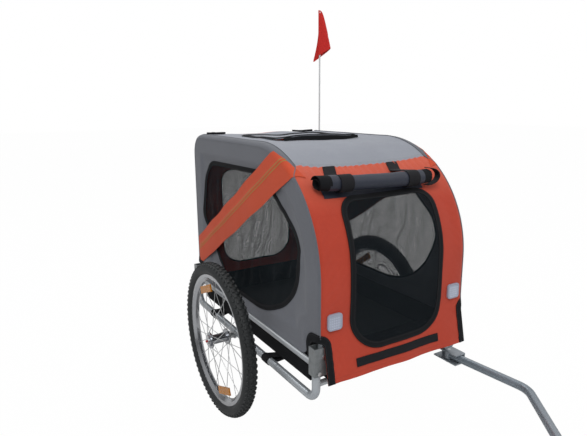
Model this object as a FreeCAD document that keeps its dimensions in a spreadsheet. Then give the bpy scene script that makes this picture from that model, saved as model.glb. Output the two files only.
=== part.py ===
import FreeCAD, Part
import math
import os

import Sketcher
from FreeCAD import Placement, Rotation, Vector

# Driving dimensions in millimetres. Forward is -Y, the trailer's left is +X and the ground is z = 0.
SIZES = {
    # stance and frame
    "track": 652,
    "wheel_stand": 70,
    "hoop_inset": 14,
    "post_front": 464,
    "post_rear": 338,
    "nest": 20,
    "rail_d": 22,
    "rail_wall": 1.8,
    "rail_bend": 36,
    "floor_rail_d": 16,
    "floor_rail_drop": 26,
    "hoop_d": 16,
    "hoop_wall": 1.4,
    "hoop_arc": 320,
    "hoop_corner": 60,
    "roof_rise": 513,
    "cross_d": 16,
    "cross_drop": 77,
    "axle_tube_d": 20,
    # corner brackets and their bolts
    "pivot_rise": 122,
    "bracket_wall": 2.5,
    "bracket_above": 26,
    "bracket_below": 50,
    "bracket_inside": 10,
    "leg_drop": 12,
    "rivet_drop": 42,
    "bolt_d": 6,
    "bolt_head_d": 11,
    "bolt_head": 2.5,
    "lug_d": 18,
    # running and seating gaps
    "fit_gap": 0.05,
    "seat_gap": 0.3,
    "overrun": 4,
    # wheels
    "tyre_section": 46,
    "tyre_rise": 39,
    "tyre_wall": 3,
    "rim_d": 422,
    "rim_bed_drop": 8,
    "rim_depth": 20,
    "rim_width": 25,
    "rim_nose": 9,
    "rim_wall": 2.4,
    "hub_length": 72,
    "hub_flange_d": 52,
    "hub_flange": 4,
    "hub_flange_spread": 26,
    "hub_end_d": 37,
    "hub_waist_d": 30,
    "hub_core_d": 18,
    "bearing_d": 28,
    "bearing_width": 8,
    "axle_d": 12,
    "axle_inside": 78,
    "sleeve_d": 16,
    "sleeve_flange_d": 26,
    "sleeve_flange": 4.5,
    "collar_d": 18,
    "axle_cap_d": 22,
    "axle_cap": 3,
    "button_d": 7,
    "button_stand": 4,
    "button_depth": 20,
    "spoke_d": 2,
    "spoke_flange_in": 3,
    "spoke_reflector_length": 92,
    "spoke_reflector_width": 24,
    "spoke_reflector": 5,
    "spoke_reflector_reach": 11.9,
    "spoke_reflector_rim_gap": 15.5,
    # tread
    "knob_height": 3,
    "knob_root": 12,
    "knob_length": 12,
    "knob_width": 11,
    "knob_offset": 9,
    # cover
    "fabric": 2,
    "mesh": 1.2,
    "side_rise": 12,
    "corner_cut": 54,
    "corner_cut_round": 26,
    "knee_rise": 58,
    "hem_rise": 16,
    "hem_flare": 26,
    "window_round": 55,
    "door_half_width": 150,
    "door_rise": 61,
    "door_drop": 137,
    "door_round": 45,
    "door_foot_round": 85,
    "door_lap": 12,
    "doorway_depth": 300,
    "binding": 16,
    "skylight_half_width": 135,
    "skylight_front": 95,
    "skylight_rear": 175,
    "skylight_round": 30,
    "flap_lap": 14,
    "roll_d": 41,
    "roll_inset": 44,
    "roll_sag": 9,
    "tie_width": 40,
    "tie": 1.6,
    "tie_slack": 1,
    "tie_left": 84,
    "tie_inset": 62,
    "reflector_side": 44,
    "reflector_round": 9,
    "reflector": 5,
    "reflector_inset": 33,
    "reflector_rise": 28,
    "band": 1.2,
    # tub
    "tub_rise": 18,
    "tub_above": 6,
    "tub_inset": 8.4,
    "tub_gap": 0.8,
    "tub_end_gap": 8,
    "floor_board": 6,
    "strap_width": 25,
    "strap": 2,
    "strap_drop": 27,
    "strap_front": 205,
    "strap_rear": 190,
    "buckle_height": 24,
    "buckle_width": 32,
    "buckle": 5,
    "buckle_rise": 18,
    # towing
    "tow_pivot_outset": 10,
    "tow_pivot_front": 428,
    "tow_bend_outset": 36,
    "tow_bend_front": 686,
    "tow_end_reach": 150,
    "tow_end_front": 868,
    "tow_d": 24,
    "tow_wall": 2,
    "tow_bend": 70,
    "tow_plate": 4,
    "tow_gap": 0.5,
    "tow_plate_inside": 19,
    "tow_plate_outside": 17.5,
    "tow_plate_front": 44,
    "tow_plate_rear": 44,
    "tow_bolt_d": 10,
    "tow_nut_d": 19,
    "tow_nut": 8,
    "tow_lug_d": 27,
    "flex_d": 28,
    "flex_length": 40,
    "flex_groove": 3,
    "coupler_d": 26,
    "coupler_neck": 12,
    "coupler_fork": 46,
    "coupler_root": 16,
    "strap_hole_d": 6,
    "pin_setback": 14,
    "coupler_height": 24,
    "coupler_slot": 12,
    "hitch_pin_d": 8,
    "hitch_pin_head_d": 14,
    "hitch_pin_head": 5,
    "hitch_pin_tail": 0.5,
    # flag
    "pole_d": 6,
    "pole_rise": 451,
    "socket_d": 11,
    "socket_rise": 50,
    "socket_above": 6,
    "socket_floor": 5,
    "flag_hoist": 160,
    "flag_sleeve": 1.2,
    "flag_cloth": 1,
    "flag_fold": 34,
    "flag_fold_round": 6,
    "flag_fold_pitch": 14,
    "flag_top_gap": 3,
    "flag_shoulder": 12,
    "flag_droop": 130,
}

# Sizes that follow others, so that neighbours stay together when one of them changes.
LINKED = {
    "axle_height": "dims.rim_d / 2 + dims.tyre_rise",
    "rail_reach": "dims.track / 2 - dims.wheel_stand",
    "hoop_reach": "rail_reach - dims.hoop_inset",
    "pivot_height": "axle_height + dims.pivot_rise",
    "floor_rail_height": "pivot_height - dims.floor_rail_drop",
    "cross_height": "pivot_height - dims.cross_drop",
    "roof_height": "pivot_height + dims.roof_rise",
    "axle_inner_reach": "rail_reach - dims.axle_inside",
    "side_bottom": "floor_rail_height + dims.side_rise",
    "knee_height": "pivot_height + dims.knee_rise",
    "hem_height": "cross_height + dims.hem_rise",
    "door_bottom": "hem_height + dims.door_rise",
    "door_top": "roof_height - dims.door_drop",
    "roll_half_length": "hoop_reach - dims.roll_inset",
    "tie_right": "roll_half_length - dims.tie_inset",
    "reflector_reach": "hoop_reach - dims.reflector_inset",
    "reflector_height": "knee_height + dims.reflector_rise",
    "tub_bottom": "axle_height + dims.rail_d / 2 + dims.tub_rise",
    "tub_top": "floor_rail_height + dims.tub_above",
    "tub_reach": "rail_reach - dims.tub_inset",
    "strap_top": "tub_top - dims.strap_drop",
    "buckle_centre": "tub_bottom + dims.buckle_rise",
    "tow_pivot_reach": "rail_reach + dims.tow_pivot_outset",
    "tow_bend_reach": "rail_reach + dims.tow_bend_outset",
    "pole_top": "roof_height + dims.pole_rise",
    "socket_bottom": "axle_height + dims.socket_rise",
    "socket_top": "pivot_height + dims.socket_above",
}

SPOKES = 28
KNOBS = 36
REFLECTOR_ANGLES = (158, 338)
SEAM_ANGLE = 58
ROLL_ANGLE = 43

# The window and the band, as shares of the side panel's length from the front and height from the bottom.
WINDOW_SHARES = (
    (0.88, 0.84),
    (0.364, 0.85),
    (0.109, 0.535),
    (0.151, 0.213),
    (0.346, 0.066),
    (0.686, 0.066),
    (0.923, 0.44),
)
BAND_SHARES = ((0.314, 0.947), (0.997, 0.26), (0.997, 0.062), (0.191, 0.897))

doc = FreeCAD.newDocument("dog_bike_trailer")
dims = doc.addObject("Spreadsheet::Sheet", "dims")
for row, (alias, number) in enumerate(SIZES.items(), 1):
    dims.set(f"A{row}", alias)
    dims.set(f"B{row}", str(number))
    dims.setAlias(f"B{row}", alias)
linked = doc.addObject("Spreadsheet::Sheet", "linked")
for row, (alias, formula) in enumerate(LINKED.items(), 1):
    linked.set(f"A{row}", alias)
    linked.set(f"B{row}", f"={formula}")
    linked.setAlias(f"B{row}", alias)
doc.recompute()

parts = []


def size(alias):
    table = linked if alias in LINKED else dims
    return float(table.get(alias))


def bind(thing, **formulas):
    for name, formula in formulas.items():
        thing.setExpression(name, formula)
    return thing


def keep(thing, label):
    thing.Label = label
    parts.append(thing)
    return thing


# Sizes and places that follow from the driving dimensions.
hoopRadius = size("hoop_d") / 2
railRadius = size("rail_d") / 2
gap = size("seat_gap")
overrun = size("overrun")
fabric = size("fabric")
armHeight = size("axle_height") - railRadius - size("tow_plate") - size("tow_gap") - size("tow_d") / 2
coverFront = size("post_front") + hoopRadius + gap + fabric
coverRear = size("post_rear") + hoopRadius + gap + fabric
coverArc = size("hoop_arc") + hoopRadius + gap + fabric
coverCorner = size("hoop_corner") + hoopRadius + gap + fabric
sideInner = size("hoop_reach") + hoopRadius + gap
bracketHalf = railRadius + 0.5 * gap + size("bracket_wall")
bracketOuter = size("rail_reach") + railRadius + gap + size("bracket_wall")
towRun = Vector(
    size("tow_end_reach") - size("tow_bend_reach"),
    size("tow_bend_front") - size("tow_end_front"),
    0,
).normalize()
hitchLength = size("flex_length") + size("coupler_neck") + size("coupler_fork")
frontReach = size("tow_end_front") - towRun.y * hitchLength - towRun.x * size("coupler_d") / 2
rearReach = coverRear + size("hem_flare")
axleY = (frontReach - rearReach) / 2


def at(x, y, z):
    # a place measured from the ground under the middle of the axle
    return Vector(x, y + axleY, z)


def cylinder(name, radius, length, start, axis):
    rod = doc.addObject("Part::Cylinder", name)
    bind(rod, Radius=radius, Height=length)
    rod.Placement = Placement(start, Rotation(Vector(0, 0, 1), axis))
    return rod


def cut(name, base, *tools):
    for tool in tools:
        step = doc.addObject("Part::Cut", name)
        step.Base = base
        step.Tool = tool
        base = step
    return base


def fuse(name, *pieces):
    joined = doc.addObject("Part::MultiFuse", name)
    joined.Shapes = list(pieces)
    return joined


def common(name, base, tool):
    shared = doc.addObject("Part::Common", name)
    shared.Base = base
    shared.Tool = tool
    return shared


def group(name, pieces):
    bundle = doc.addObject("Part::Compound", name)
    bundle.Links = list(pieces)
    return bundle


def rounded_edges(points, radii, closed=False):
    # straight runs joined by tangent arcs; a radius of zero leaves the corner sharp
    count = len(points)
    edges = []
    stations = []
    for n, corner in enumerate(points):
        isEnd = not closed and n in (0, count - 1)
        radius = radii[n] if isinstance(radii, (list, tuple)) else radii
        if isEnd or not radius:
            stations.append((corner, None, corner))
            continue
        arrive = (corner - points[n - 1]).normalize()
        leave = (points[(n + 1) % count] - corner).normalize()
        half = arrive.getAngle(leave) / 2
        setback = radius * math.tan(half)
        inward = (leave - arrive).normalize()
        middle = corner + inward * (radius / math.cos(half) - radius)
        stations.append((corner - arrive * setback, middle, corner + leave * setback))
    for n, (start, middle, end) in enumerate(stations):
        if middle is not None:
            edges.append(Part.Arc(start, middle, end).toShape())
        if n + 1 < count or closed:
            following = stations[(n + 1) % count][0]
            edges.append(Part.LineSegment(end, following).toShape())
    return edges


def path(name, points, radii):
    route = doc.addObject("Part::Feature", name)
    route.Shape = Part.Wire(rounded_edges(points, radii))
    return route


def sweep(name, route, radius):
    first = route.Shape.Edges[0]
    ring = doc.addObject("Part::Circle", name + "_ring")
    bind(ring, Radius=radius)
    heading = first.tangentAt(first.FirstParameter)
    ring.Placement = Placement(first.valueAt(first.FirstParameter), Rotation(Vector(0, 0, 1), heading))
    rod = doc.addObject("Part::Sweep", name)
    rod.Sections = [ring]
    rod.Spine = (route, [f"Edge{n + 1}" for n in range(len(route.Shape.Edges))])
    rod.Solid = True
    return rod


def prism(name, points, radii, along, length):
    outline = doc.addObject("Part::Feature", name + "_outline")
    outline.Shape = Part.Face(Part.Wire(rounded_edges(points, radii, True)))
    block = doc.addObject("Part::Extrusion", name)
    block.Base = outline
    block.DirMode = "Custom"
    block.Dir = along
    bind(block, LengthFwd=length)
    block.Solid = True
    return block


def sketch_outline(body, name, role, corners):
    # a closed sketch whose corners are each bound to a formula of the sheet
    sketch = body.newObject("Sketcher::SketchObject", name)
    plane = next(f for f in body.Origin.OriginFeatures if f.Role == role)
    sketch.AttachmentSupport = [(plane, "")]
    sketch.MapMode = "FlatFace"
    count = len(corners)
    spots = [Vector(float(body.evalExpression(u)), float(body.evalExpression(v)), 0) for u, v in corners]
    for n in range(count):
        sketch.addGeometry(Part.LineSegment(spots[n], spots[(n + 1) % count]), False)
    for n in range(count):
        sketch.addConstraint(Sketcher.Constraint("Coincident", n, 2, (n + 1) % count, 1))
    for n, (u, v) in enumerate(corners):
        across = sketch.addConstraint(Sketcher.Constraint("DistanceX", -1, 1, n, 1, spots[n].x))
        sketch.setExpression(f"Constraints[{across}]", u)
        upward = sketch.addConstraint(Sketcher.Constraint("DistanceY", -1, 1, n, 1, spots[n].y))
        sketch.setExpression(f"Constraints[{upward}]", v)
    return sketch


def revolved(name, corners, place):
    # a ring about X, from a half section in (x, radius)
    body = doc.addObject("PartDesign::Body", name)
    sketch = sketch_outline(body, name + "_section", "XZ_Plane", corners)
    turn = body.newObject("PartDesign::Revolution", name + "_turn")
    turn.Profile = sketch
    turn.ReferenceAxis = (sketch, ["H_Axis"])
    body.Placement = place
    return body


SIDES = (("right", -1, 0.0), ("left", 1, size("nest")))


# Lower rails, floor rails, corner brackets and side hoops. The left hoop stands one nest inside the right
# one at the front, rear and top, so that the two pass each other as they fold.
def side_frame(side, hand, inset):
    front = -size("post_front") + inset
    rear = size("post_rear") - inset
    pivot = size("pivot_height") - inset
    railX = hand * size("rail_reach")
    hoopX = hand * size("hoop_reach")
    legTop = pivot - size("leg_drop")
    axleZ = size("axle_height")

    route = path(
        f"{side}_rail_route",
        [at(railX, front, legTop), at(railX, front, axleZ), at(railX, rear, axleZ), at(railX, rear, legTop)],
        size("rail_bend"),
    )
    railSolid = sweep(f"{side}_rail_outer", route, "dims.rail_d / 2")
    railBore = sweep(f"{side}_rail_inner", route, "dims.rail_d / 2 - dims.rail_wall")
    crossBore = cylinder(
        f"{side}_rail_axle_bore",
        "dims.sleeve_d / 2 + dims.fit_gap",
        "2 * dims.rail_d",
        at(railX - size("rail_d"), 0, axleZ),
        Vector(1, 0, 0),
    )

    bolts = []
    boltBores = []
    for end, y in (("front", front), ("rear", rear)):
        body = doc.addObject("PartDesign::Body", f"{end}_{side}_channel")
        half = "dims.rail_d / 2 + dims.seat_gap / 2"
        outside = "linked.rail_reach - linked.hoop_reach + dims.rail_d / 2 + dims.seat_gap"
        wall = "dims.bracket_wall"
        sketch = sketch_outline(
            body,
            f"{end}_{side}_channel_section",
            "XY_Plane",
            [
                ("-dims.bracket_inside", f"-({half}) - {wall}"),
                (f"{outside} + {wall}", f"-({half}) - {wall}"),
                (f"{outside} + {wall}", f"{half} + {wall}"),
                ("-dims.bracket_inside", f"{half} + {wall}"),
                ("-dims.bracket_inside", half),
                (outside, half),
                (outside, f"-({half})"),
                ("-dims.bracket_inside", f"-({half})"),
            ],
        )
        pad = body.newObject("PartDesign::Pad", f"{end}_{side}_channel_pad")
        pad.Profile = sketch
        bind(pad, Length="dims.bracket_above + dims.bracket_below")
        turn = Rotation(Vector(0, 0, 1), 0 if hand > 0 else 180)
        body.Placement = Placement(at(hoopX, y, pivot - size("bracket_below")), turn)

        reach = bracketHalf + size("bolt_head")
        pieces = []
        for name, x, z in (("pivot", hoopX, pivot), ("leg", railX, pivot - size("rivet_drop"))):
            start = at(x, y - reach, z)
            forward = Vector(0, 1, 0)
            bore = cylinder(
                f"{end}_{side}_{name}_bore",
                "dims.bolt_d / 2 + dims.fit_gap",
                "2 * dims.rail_d + 4 * dims.bracket_wall",
                at(x, y - size("rail_d") - 2 * size("bracket_wall"), z),
                forward,
            )
            shank = cylinder(
                f"{end}_{side}_{name}_shank",
                "dims.bolt_d / 2",
                "dims.rail_d + dims.seat_gap + 2 * dims.bracket_wall + 2 * dims.bolt_head",
                start,
                forward,
            )
            head = cylinder(
                f"{end}_{side}_{name}_head", "dims.bolt_head_d / 2", "dims.bolt_head", start, forward
            )
            nut = cylinder(
                f"{end}_{side}_{name}_nut",
                "dims.bolt_head_d / 2",
                "dims.bolt_head",
                at(x, y + bracketHalf, z),
                forward,
            )
            bolts.append(fuse(f"{end}_{side}_{name}_bolt", shank, head, nut))
            pieces.append(bore)
        keep(cut(f"{end}_{side}_channel_cut", body, *pieces), f"{end}_{side}_bracket")
        boltBores.append(pieces)

    rail = cut(f"{side}_rail_cut", railSolid, railBore, crossBore, boltBores[0][1], boltBores[1][1])
    keep(rail, f"{side}_lower_rail")

    top = size("roof_height") - fabric - gap - hoopRadius - inset
    hoopRoute = path(
        f"{side}_hoop_route",
        [at(hoopX, front, pivot), at(hoopX, front, top), at(hoopX, rear, top), at(hoopX, rear, pivot)],
        [0, size("hoop_arc") - inset, size("hoop_corner") - inset, 0],
    )
    hoopSolid = sweep(f"{side}_hoop_outer", hoopRoute, "dims.hoop_d / 2")
    hoopBore = sweep(f"{side}_hoop_inner", hoopRoute, "dims.hoop_d / 2 - dims.hoop_wall")
    lugs = [
        cylinder(
            f"{side}_lug",
            "dims.lug_d / 2",
            "dims.rail_d - dims.seat_gap",
            at(hoopX, y - railRadius + gap / 2, pivot),
            Vector(0, 1, 0),
        )
        for y in (front, rear)
    ]
    hoop = fuse(f"{side}_hoop_body", cut(f"{side}_hoop_tube", hoopSolid, hoopBore), *lugs)
    keep(cut(f"{side}_hoop_bored", hoop, boltBores[0][0], boltBores[1][0]), f"{side}_hoop")

    floorRail = cylinder(
        f"{side}_floor_rail_outer",
        "dims.floor_rail_d / 2",
        "dims.post_front + dims.post_rear"
        f" - 2 * ({inset and 'dims.nest' or '0'} + dims.rail_d / 2 + dims.seat_gap / 2 + dims.bracket_wall)",
        at(railX, front + bracketHalf, size("floor_rail_height")),
        Vector(0, 1, 0),
    )
    floorBore = cylinder(
        f"{side}_floor_rail_inner",
        "dims.floor_rail_d / 2 - dims.hoop_wall",
        "dims.post_front + dims.post_rear",
        at(railX, front, size("floor_rail_height")),
        Vector(0, 1, 0),
    )
    keep(cut(f"{side}_floor_rail_cut", floorRail, floorBore), f"{side}_floor_rail")
    return railSolid, bolts


rails = {}
allBolts = []
for side, hand, inset in SIDES:
    rails[side], bolts = side_frame(side, hand, inset)
    allBolts += bolts
keep(group("bracket_bolt_group", allBolts), "bracket_bolts")


# Cross tubes, their ends shaped to the side rails.
def cross_tube(name, rightY, leftY, height, outer, bore):
    start = at(-size("rail_reach"), rightY, height)
    run = at(size("rail_reach"), leftY, height) - start
    solid = cylinder(f"{name}_outer", outer, "2 * linked.rail_reach", start, run)
    hollow = cylinder(f"{name}_inner", bore, "2 * linked.rail_reach", start, run)
    return cut(name, solid, hollow, rails["right"], rails["left"])


nest = size("nest")
crossBore = "dims.cross_d / 2 - dims.hoop_wall"
crossTubes = [
    cross_tube(
        "front_cross",
        -size("post_front"),
        -size("post_front") + nest,
        size("cross_height"),
        "dims.cross_d / 2",
        crossBore,
    ),
    cross_tube(
        "rear_cross",
        size("post_rear"),
        size("post_rear") - nest,
        size("cross_height"),
        "dims.cross_d / 2",
        crossBore,
    ),
    cross_tube(
        "axle_cross", 0, 0, size("axle_height"), "dims.axle_tube_d / 2", "dims.sleeve_d / 2 + dims.fit_gap"
    ),
]
keep(group("cross_tube_group", crossTubes), "cross_tubes")


# Wheels, with everything about the axle in order from the frame outward.
def wheel(side, hand):
    centreX = hand * size("track") / 2
    centreZ = size("axle_height")
    centre = at(centreX, 0, centreZ)
    outward = Vector(hand, 0, 0)
    upright = Placement(centre, Rotation())
    facing = Placement(centre, Rotation(Vector(0, 1, 0), 90))

    major = "linked.axle_height - dims.tyre_section / 2"
    carcass = doc.addObject("Part::Torus", f"{side}_carcass")
    bind(carcass, Radius1=major, Radius2="dims.tyre_section / 2 - dims.knob_height")
    carcass.Placement = facing
    cavity = doc.addObject("Part::Torus", f"{side}_cavity")
    bind(cavity, Radius1=major, Radius2="dims.tyre_section / 2 - dims.knob_height - dims.tyre_wall")
    cavity.Placement = facing
    seatHalf = size("rim_width") / 2 + gap
    seat = cylinder(
        f"{side}_tyre_seat",
        "dims.rim_d / 2 + dims.seat_gap",
        "dims.rim_width + 2 * dims.seat_gap",
        at(centreX - seatHalf, 0, centreZ),
        Vector(1, 0, 0),
    )
    knobs = doc.addObject("Part::Feature", f"{side}_knobs")
    knobs.Shape = Part.makeCompound(tread_knobs(centre))
    tyre = cut(f"{side}_tyre_cut", fuse(f"{side}_tread", carcass, knobs), cavity, seat)
    keep(tyre, f"{side}_tyre")

    half = "dims.rim_width / 2"
    wall = "dims.rim_wall"
    outer = "dims.rim_d / 2"
    bed = "dims.rim_d / 2 - dims.rim_bed_drop"
    shoulder = "dims.rim_d / 2 - dims.rim_bed_drop - dims.rim_wall"
    inner = "dims.rim_d / 2 - dims.rim_depth"
    nose = "dims.rim_nose / 2"
    rim = revolved(
        f"{side}_rim_body",
        [
            (f"-({half})", outer),
            (f"-({half}) + {wall}", outer),
            (f"-({half}) + {wall}", bed),
            (f"{half} - {wall}", bed),
            (f"{half} - {wall}", outer),
            (half, outer),
            (half, shoulder),
            (nose, inner),
            (f"-({nose})", inner),
            (f"-({half})", shoulder),
        ],
        upright,
    )
    keep(rim, f"{side}_rim")

    end = "dims.hub_length / 2"
    spread = "dims.hub_flange_spread"
    flange = "dims.hub_flange_spread + dims.hub_flange"
    bearingSeat = "dims.hub_length / 2 - dims.bearing_width"
    hub = revolved(
        f"{side}_hub_body",
        [
            (f"-({end})", "dims.hub_end_d / 2"),
            (f"-({flange})", "dims.hub_end_d / 2"),
            (f"-({flange})", "dims.hub_flange_d / 2"),
            (f"-{spread}", "dims.hub_flange_d / 2"),
            (f"-{spread}", "dims.hub_waist_d / 2"),
            (spread, "dims.hub_waist_d / 2"),
            (spread, "dims.hub_flange_d / 2"),
            (flange, "dims.hub_flange_d / 2"),
            (flange, "dims.hub_end_d / 2"),
            (end, "dims.hub_end_d / 2"),
            (end, "dims.bearing_d / 2"),
            (bearingSeat, "dims.bearing_d / 2"),
            (bearingSeat, "dims.hub_core_d / 2"),
            (f"-({bearingSeat})", "dims.hub_core_d / 2"),
            (f"-({bearingSeat})", "dims.bearing_d / 2"),
            (f"-({end})", "dims.bearing_d / 2"),
        ],
        upright,
    )
    keep(hub, f"{side}_hub")

    bearings = []
    for offset in (-size("hub_length") / 2, size("hub_length") / 2 - size("bearing_width")):
        start = at(centreX + offset, 0, centreZ)
        ring = cylinder(
            f"{side}_bearing_ring", "dims.bearing_d / 2", "dims.bearing_width", start, Vector(1, 0, 0)
        )
        bore = cylinder(
            f"{side}_bearing_bore",
            "dims.axle_d / 2 + dims.fit_gap",
            "dims.bearing_width",
            start,
            Vector(1, 0, 0),
        )
        bearings.append(cut(f"{side}_bearing", ring, bore))
    keep(group(f"{side}_bearing_group", bearings), f"{side}_bearings")

    spokes = doc.addObject("Part::Feature", f"{side}_spoke_set")
    spokes.Shape = Part.makeCompound(laced_spokes(centre))
    keep(spokes, f"{side}_spokes")

    plates = doc.addObject("Part::Feature", f"{side}_reflector_set")
    plates.Shape = Part.makeCompound(spoke_reflectors(centre, hand))
    keep(plates, f"{side}_spoke_reflectors")

    # sleeve through the rail, stub axle in the sleeve, release button in the axle
    def along(reach):
        return at(hand * reach, 0, centreZ)

    sleeveOut = size("rail_reach") + railRadius + gap + size("sleeve_flange")
    sleeve = cylinder(
        f"{side}_sleeve_tube",
        "dims.sleeve_d / 2",
        "linked.rail_reach + dims.rail_d / 2 + dims.seat_gap + dims.sleeve_flange - linked.axle_inner_reach",
        along(size("axle_inner_reach")),
        outward,
    )
    sleeveFlange = cylinder(
        f"{side}_sleeve_flange",
        "dims.sleeve_flange_d / 2",
        "dims.sleeve_flange",
        along(sleeveOut - size("sleeve_flange")),
        outward,
    )
    axleBore = cylinder(
        f"{side}_sleeve_bore",
        "dims.axle_d / 2 + dims.fit_gap",
        "dims.track",
        along(0),
        outward,
    )
    keep(
        cut(f"{side}_sleeve_cut", fuse(f"{side}_sleeve_body", sleeve, sleeveFlange), axleBore),
        f"{side}_axle_sleeve",
    )

    hubIn = size("track") / 2 - size("hub_length") / 2 - gap
    hubOut = size("track") / 2 + size("hub_length") / 2 + gap
    capOut = hubOut + size("axle_cap")
    shaft = cylinder(
        f"{side}_axle_shaft",
        "dims.axle_d / 2",
        "dims.track / 2 + dims.hub_length / 2 + dims.seat_gap + dims.axle_cap - linked.axle_inner_reach",
        along(size("axle_inner_reach")),
        outward,
    )
    collar = cylinder(
        f"{side}_axle_collar",
        "dims.collar_d / 2",
        "dims.track / 2 - dims.hub_length / 2 - linked.rail_reach - dims.rail_d / 2 - dims.sleeve_flange"
        " - 2 * dims.seat_gap",
        along(sleeveOut),
        outward,
    )
    cap = cylinder(f"{side}_axle_cap", "dims.axle_cap_d / 2", "dims.axle_cap", along(hubOut), outward)
    pocket = cylinder(
        f"{side}_axle_pocket",
        "dims.button_d / 2 + dims.fit_gap",
        "dims.button_depth + dims.button_stand + dims.overrun",
        along(capOut + overrun),
        outward * -1,
    )
    axle = fuse(f"{side}_axle_body", shaft, collar, cap)
    keep(cut(f"{side}_axle_cut", axle, pocket), f"{side}_axle")
    button = cylinder(
        f"{side}_button_pin",
        "dims.button_d / 2",
        "dims.button_depth",
        along(capOut + size("button_stand")),
        outward * -1,
    )
    keep(button, f"{side}_release_button")


def tread_knobs(centre):
    # two staggered rows of blocks that stand on the crown of the tyre
    root = size("axle_height") - size("knob_root")
    blocks = []
    for row, sideways in enumerate((-1, 1)):
        inner = sideways * size("knob_offset") - size("knob_width") / 2
        for n in range(KNOBS):
            block = Part.makeBox(
                size("knob_width"),
                size("knob_length"),
                size("knob_root"),
                Vector(inner, -size("knob_length") / 2, root),
            )
            block.rotate(Vector(0, 0, 0), Vector(1, 0, 0), 360 / KNOBS * (n + row / 2))
            block.translate(centre)
            blocks.append(block)
    return blocks


def laced_spokes(centre):
    # alternate spokes lean forward and back, from alternate hub flanges to the inside of the rim
    hubRadius = size("hub_flange_d") / 2 + gap
    rimRadius = size("rim_d") / 2 - size("rim_depth") - gap
    flangeX = size("hub_flange_spread") + size("hub_flange") / 2
    rimX = size("rim_nose") / 4
    step = 2 * math.pi / SPOKES
    lean = 3 * step
    spokes = []
    for n in range(SPOKES):
        side = 1 if n % 2 else -1
        trail = 1 if n // 2 % 2 else -1
        rimAngle = n * step
        hubAngle = rimAngle + trail * lean
        foot = Vector(side * flangeX, hubRadius * math.sin(hubAngle), hubRadius * math.cos(hubAngle))
        tip = Vector(side * rimX, rimRadius * math.sin(rimAngle), rimRadius * math.cos(rimAngle))
        run = tip - foot
        spokes.append(Part.makeCylinder(size("spoke_d") / 2, run.Length, centre + foot, run))
    return spokes


def spoke_reflectors(centre, hand):
    # two bars clipped outside the spokes, opposite each other near the rim
    radius = size("rim_d") / 2 - size("rim_depth") - size("spoke_reflector_rim_gap")
    bars = []
    for angle in REFLECTOR_ANGLES:
        bar = Part.makeBox(
            size("spoke_reflector"),
            size("spoke_reflector_length"),
            size("spoke_reflector_width"),
            Vector(
                hand * size("spoke_reflector_reach") - size("spoke_reflector") / 2,
                -size("spoke_reflector_length") / 2,
                radius - size("spoke_reflector_width"),
            ),
        )
        bar.rotate(Vector(0, 0, 0), Vector(1, 0, 0), angle - (360 / SPOKES if hand > 0 else 0))
        bar.translate(centre)
        bars.append(bar)
    return bars


for side, hand, _ in SIDES:
    wheel(side, hand)


# The cover. Its outline runs from the front hem up over the hoops to the rear hem; inset moves it inward.
arcY = -coverFront + coverArc
arcZ = size("roof_height") - coverArc


def on_arc(angle, inset):
    turn = math.radians(angle)
    reach = coverArc - inset
    return at(0, arcY - reach * math.cos(turn), arcZ + reach * math.sin(turn))


def front_run(inset):
    hem = at(0, -coverFront - size("hem_flare") + inset, size("hem_height"))
    knee = at(0, -coverFront + inset, size("knee_height"))
    spring = on_arc(0, inset)
    return [
        Part.LineSegment(hem, knee).toShape(),
        Part.LineSegment(knee, spring).toShape(),
        Part.Arc(spring, on_arc(SEAM_ANGLE / 2, inset), on_arc(SEAM_ANGLE, inset)).toShape(),
    ]


def roof_run(inset):
    crown = on_arc(90, inset)
    back = at(0, coverRear - coverCorner, size("roof_height") - inset)
    middle = on_arc((SEAM_ANGLE + 90) / 2, inset)
    arc = Part.Arc(on_arc(SEAM_ANGLE, inset), middle, crown)
    return [arc.toShape(), Part.LineSegment(crown, back).toShape()]


def rear_run(inset):
    cornerY = coverRear - coverCorner
    cornerZ = size("roof_height") - coverCorner
    reach = coverCorner - inset
    slant = reach * math.sqrt(0.5)
    back = at(0, cornerY, cornerZ + reach)
    drop = at(0, cornerY + reach, cornerZ)
    knee = at(0, coverRear - inset, size("knee_height"))
    hem = at(0, coverRear + size("hem_flare") - inset, size("hem_height"))
    return [
        Part.Arc(back, at(0, cornerY + slant, cornerZ + slant), drop).toShape(),
        Part.LineSegment(drop, knee).toShape(),
        Part.LineSegment(knee, hem).toShape(),
    ]


def sheet(name, run, outside, inside, halfWidth):
    outer = Part.Wire(run(outside))
    inner = Part.Wire(run(inside))
    starts = Part.LineSegment(outer.OrderedVertexes[0].Point, inner.OrderedVertexes[0].Point)
    ends = Part.LineSegment(outer.OrderedVertexes[-1].Point, inner.OrderedVertexes[-1].Point)
    edges = outer.Edges + inner.Edges + [starts.toShape(), ends.toShape()]
    face = doc.addObject("Part::Feature", name + "_face")
    face.Shape = Part.Face(Part.Wire(Part.__sortEdges__(edges)))
    cloth = doc.addObject("Part::Extrusion", name)
    cloth.Base = face
    cloth.DirMode = "Custom"
    cloth.Dir = Vector(1, 0, 0)
    bind(cloth, LengthFwd=halfWidth, LengthRev=halfWidth)
    cloth.Solid = True
    return cloth


panelHalf = "linked.hoop_reach + dims.hoop_d / 2"


def upright_block(name, halfWidth, bottom, top, radii, y, along):
    corners = [
        at(-halfWidth, y, bottom),
        at(halfWidth, y, bottom),
        at(halfWidth, y, top),
        at(-halfWidth, y, top),
    ]
    foot, head = radii
    return prism(name, corners, [foot, foot, head, head], along, "dims.doorway_depth")


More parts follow.
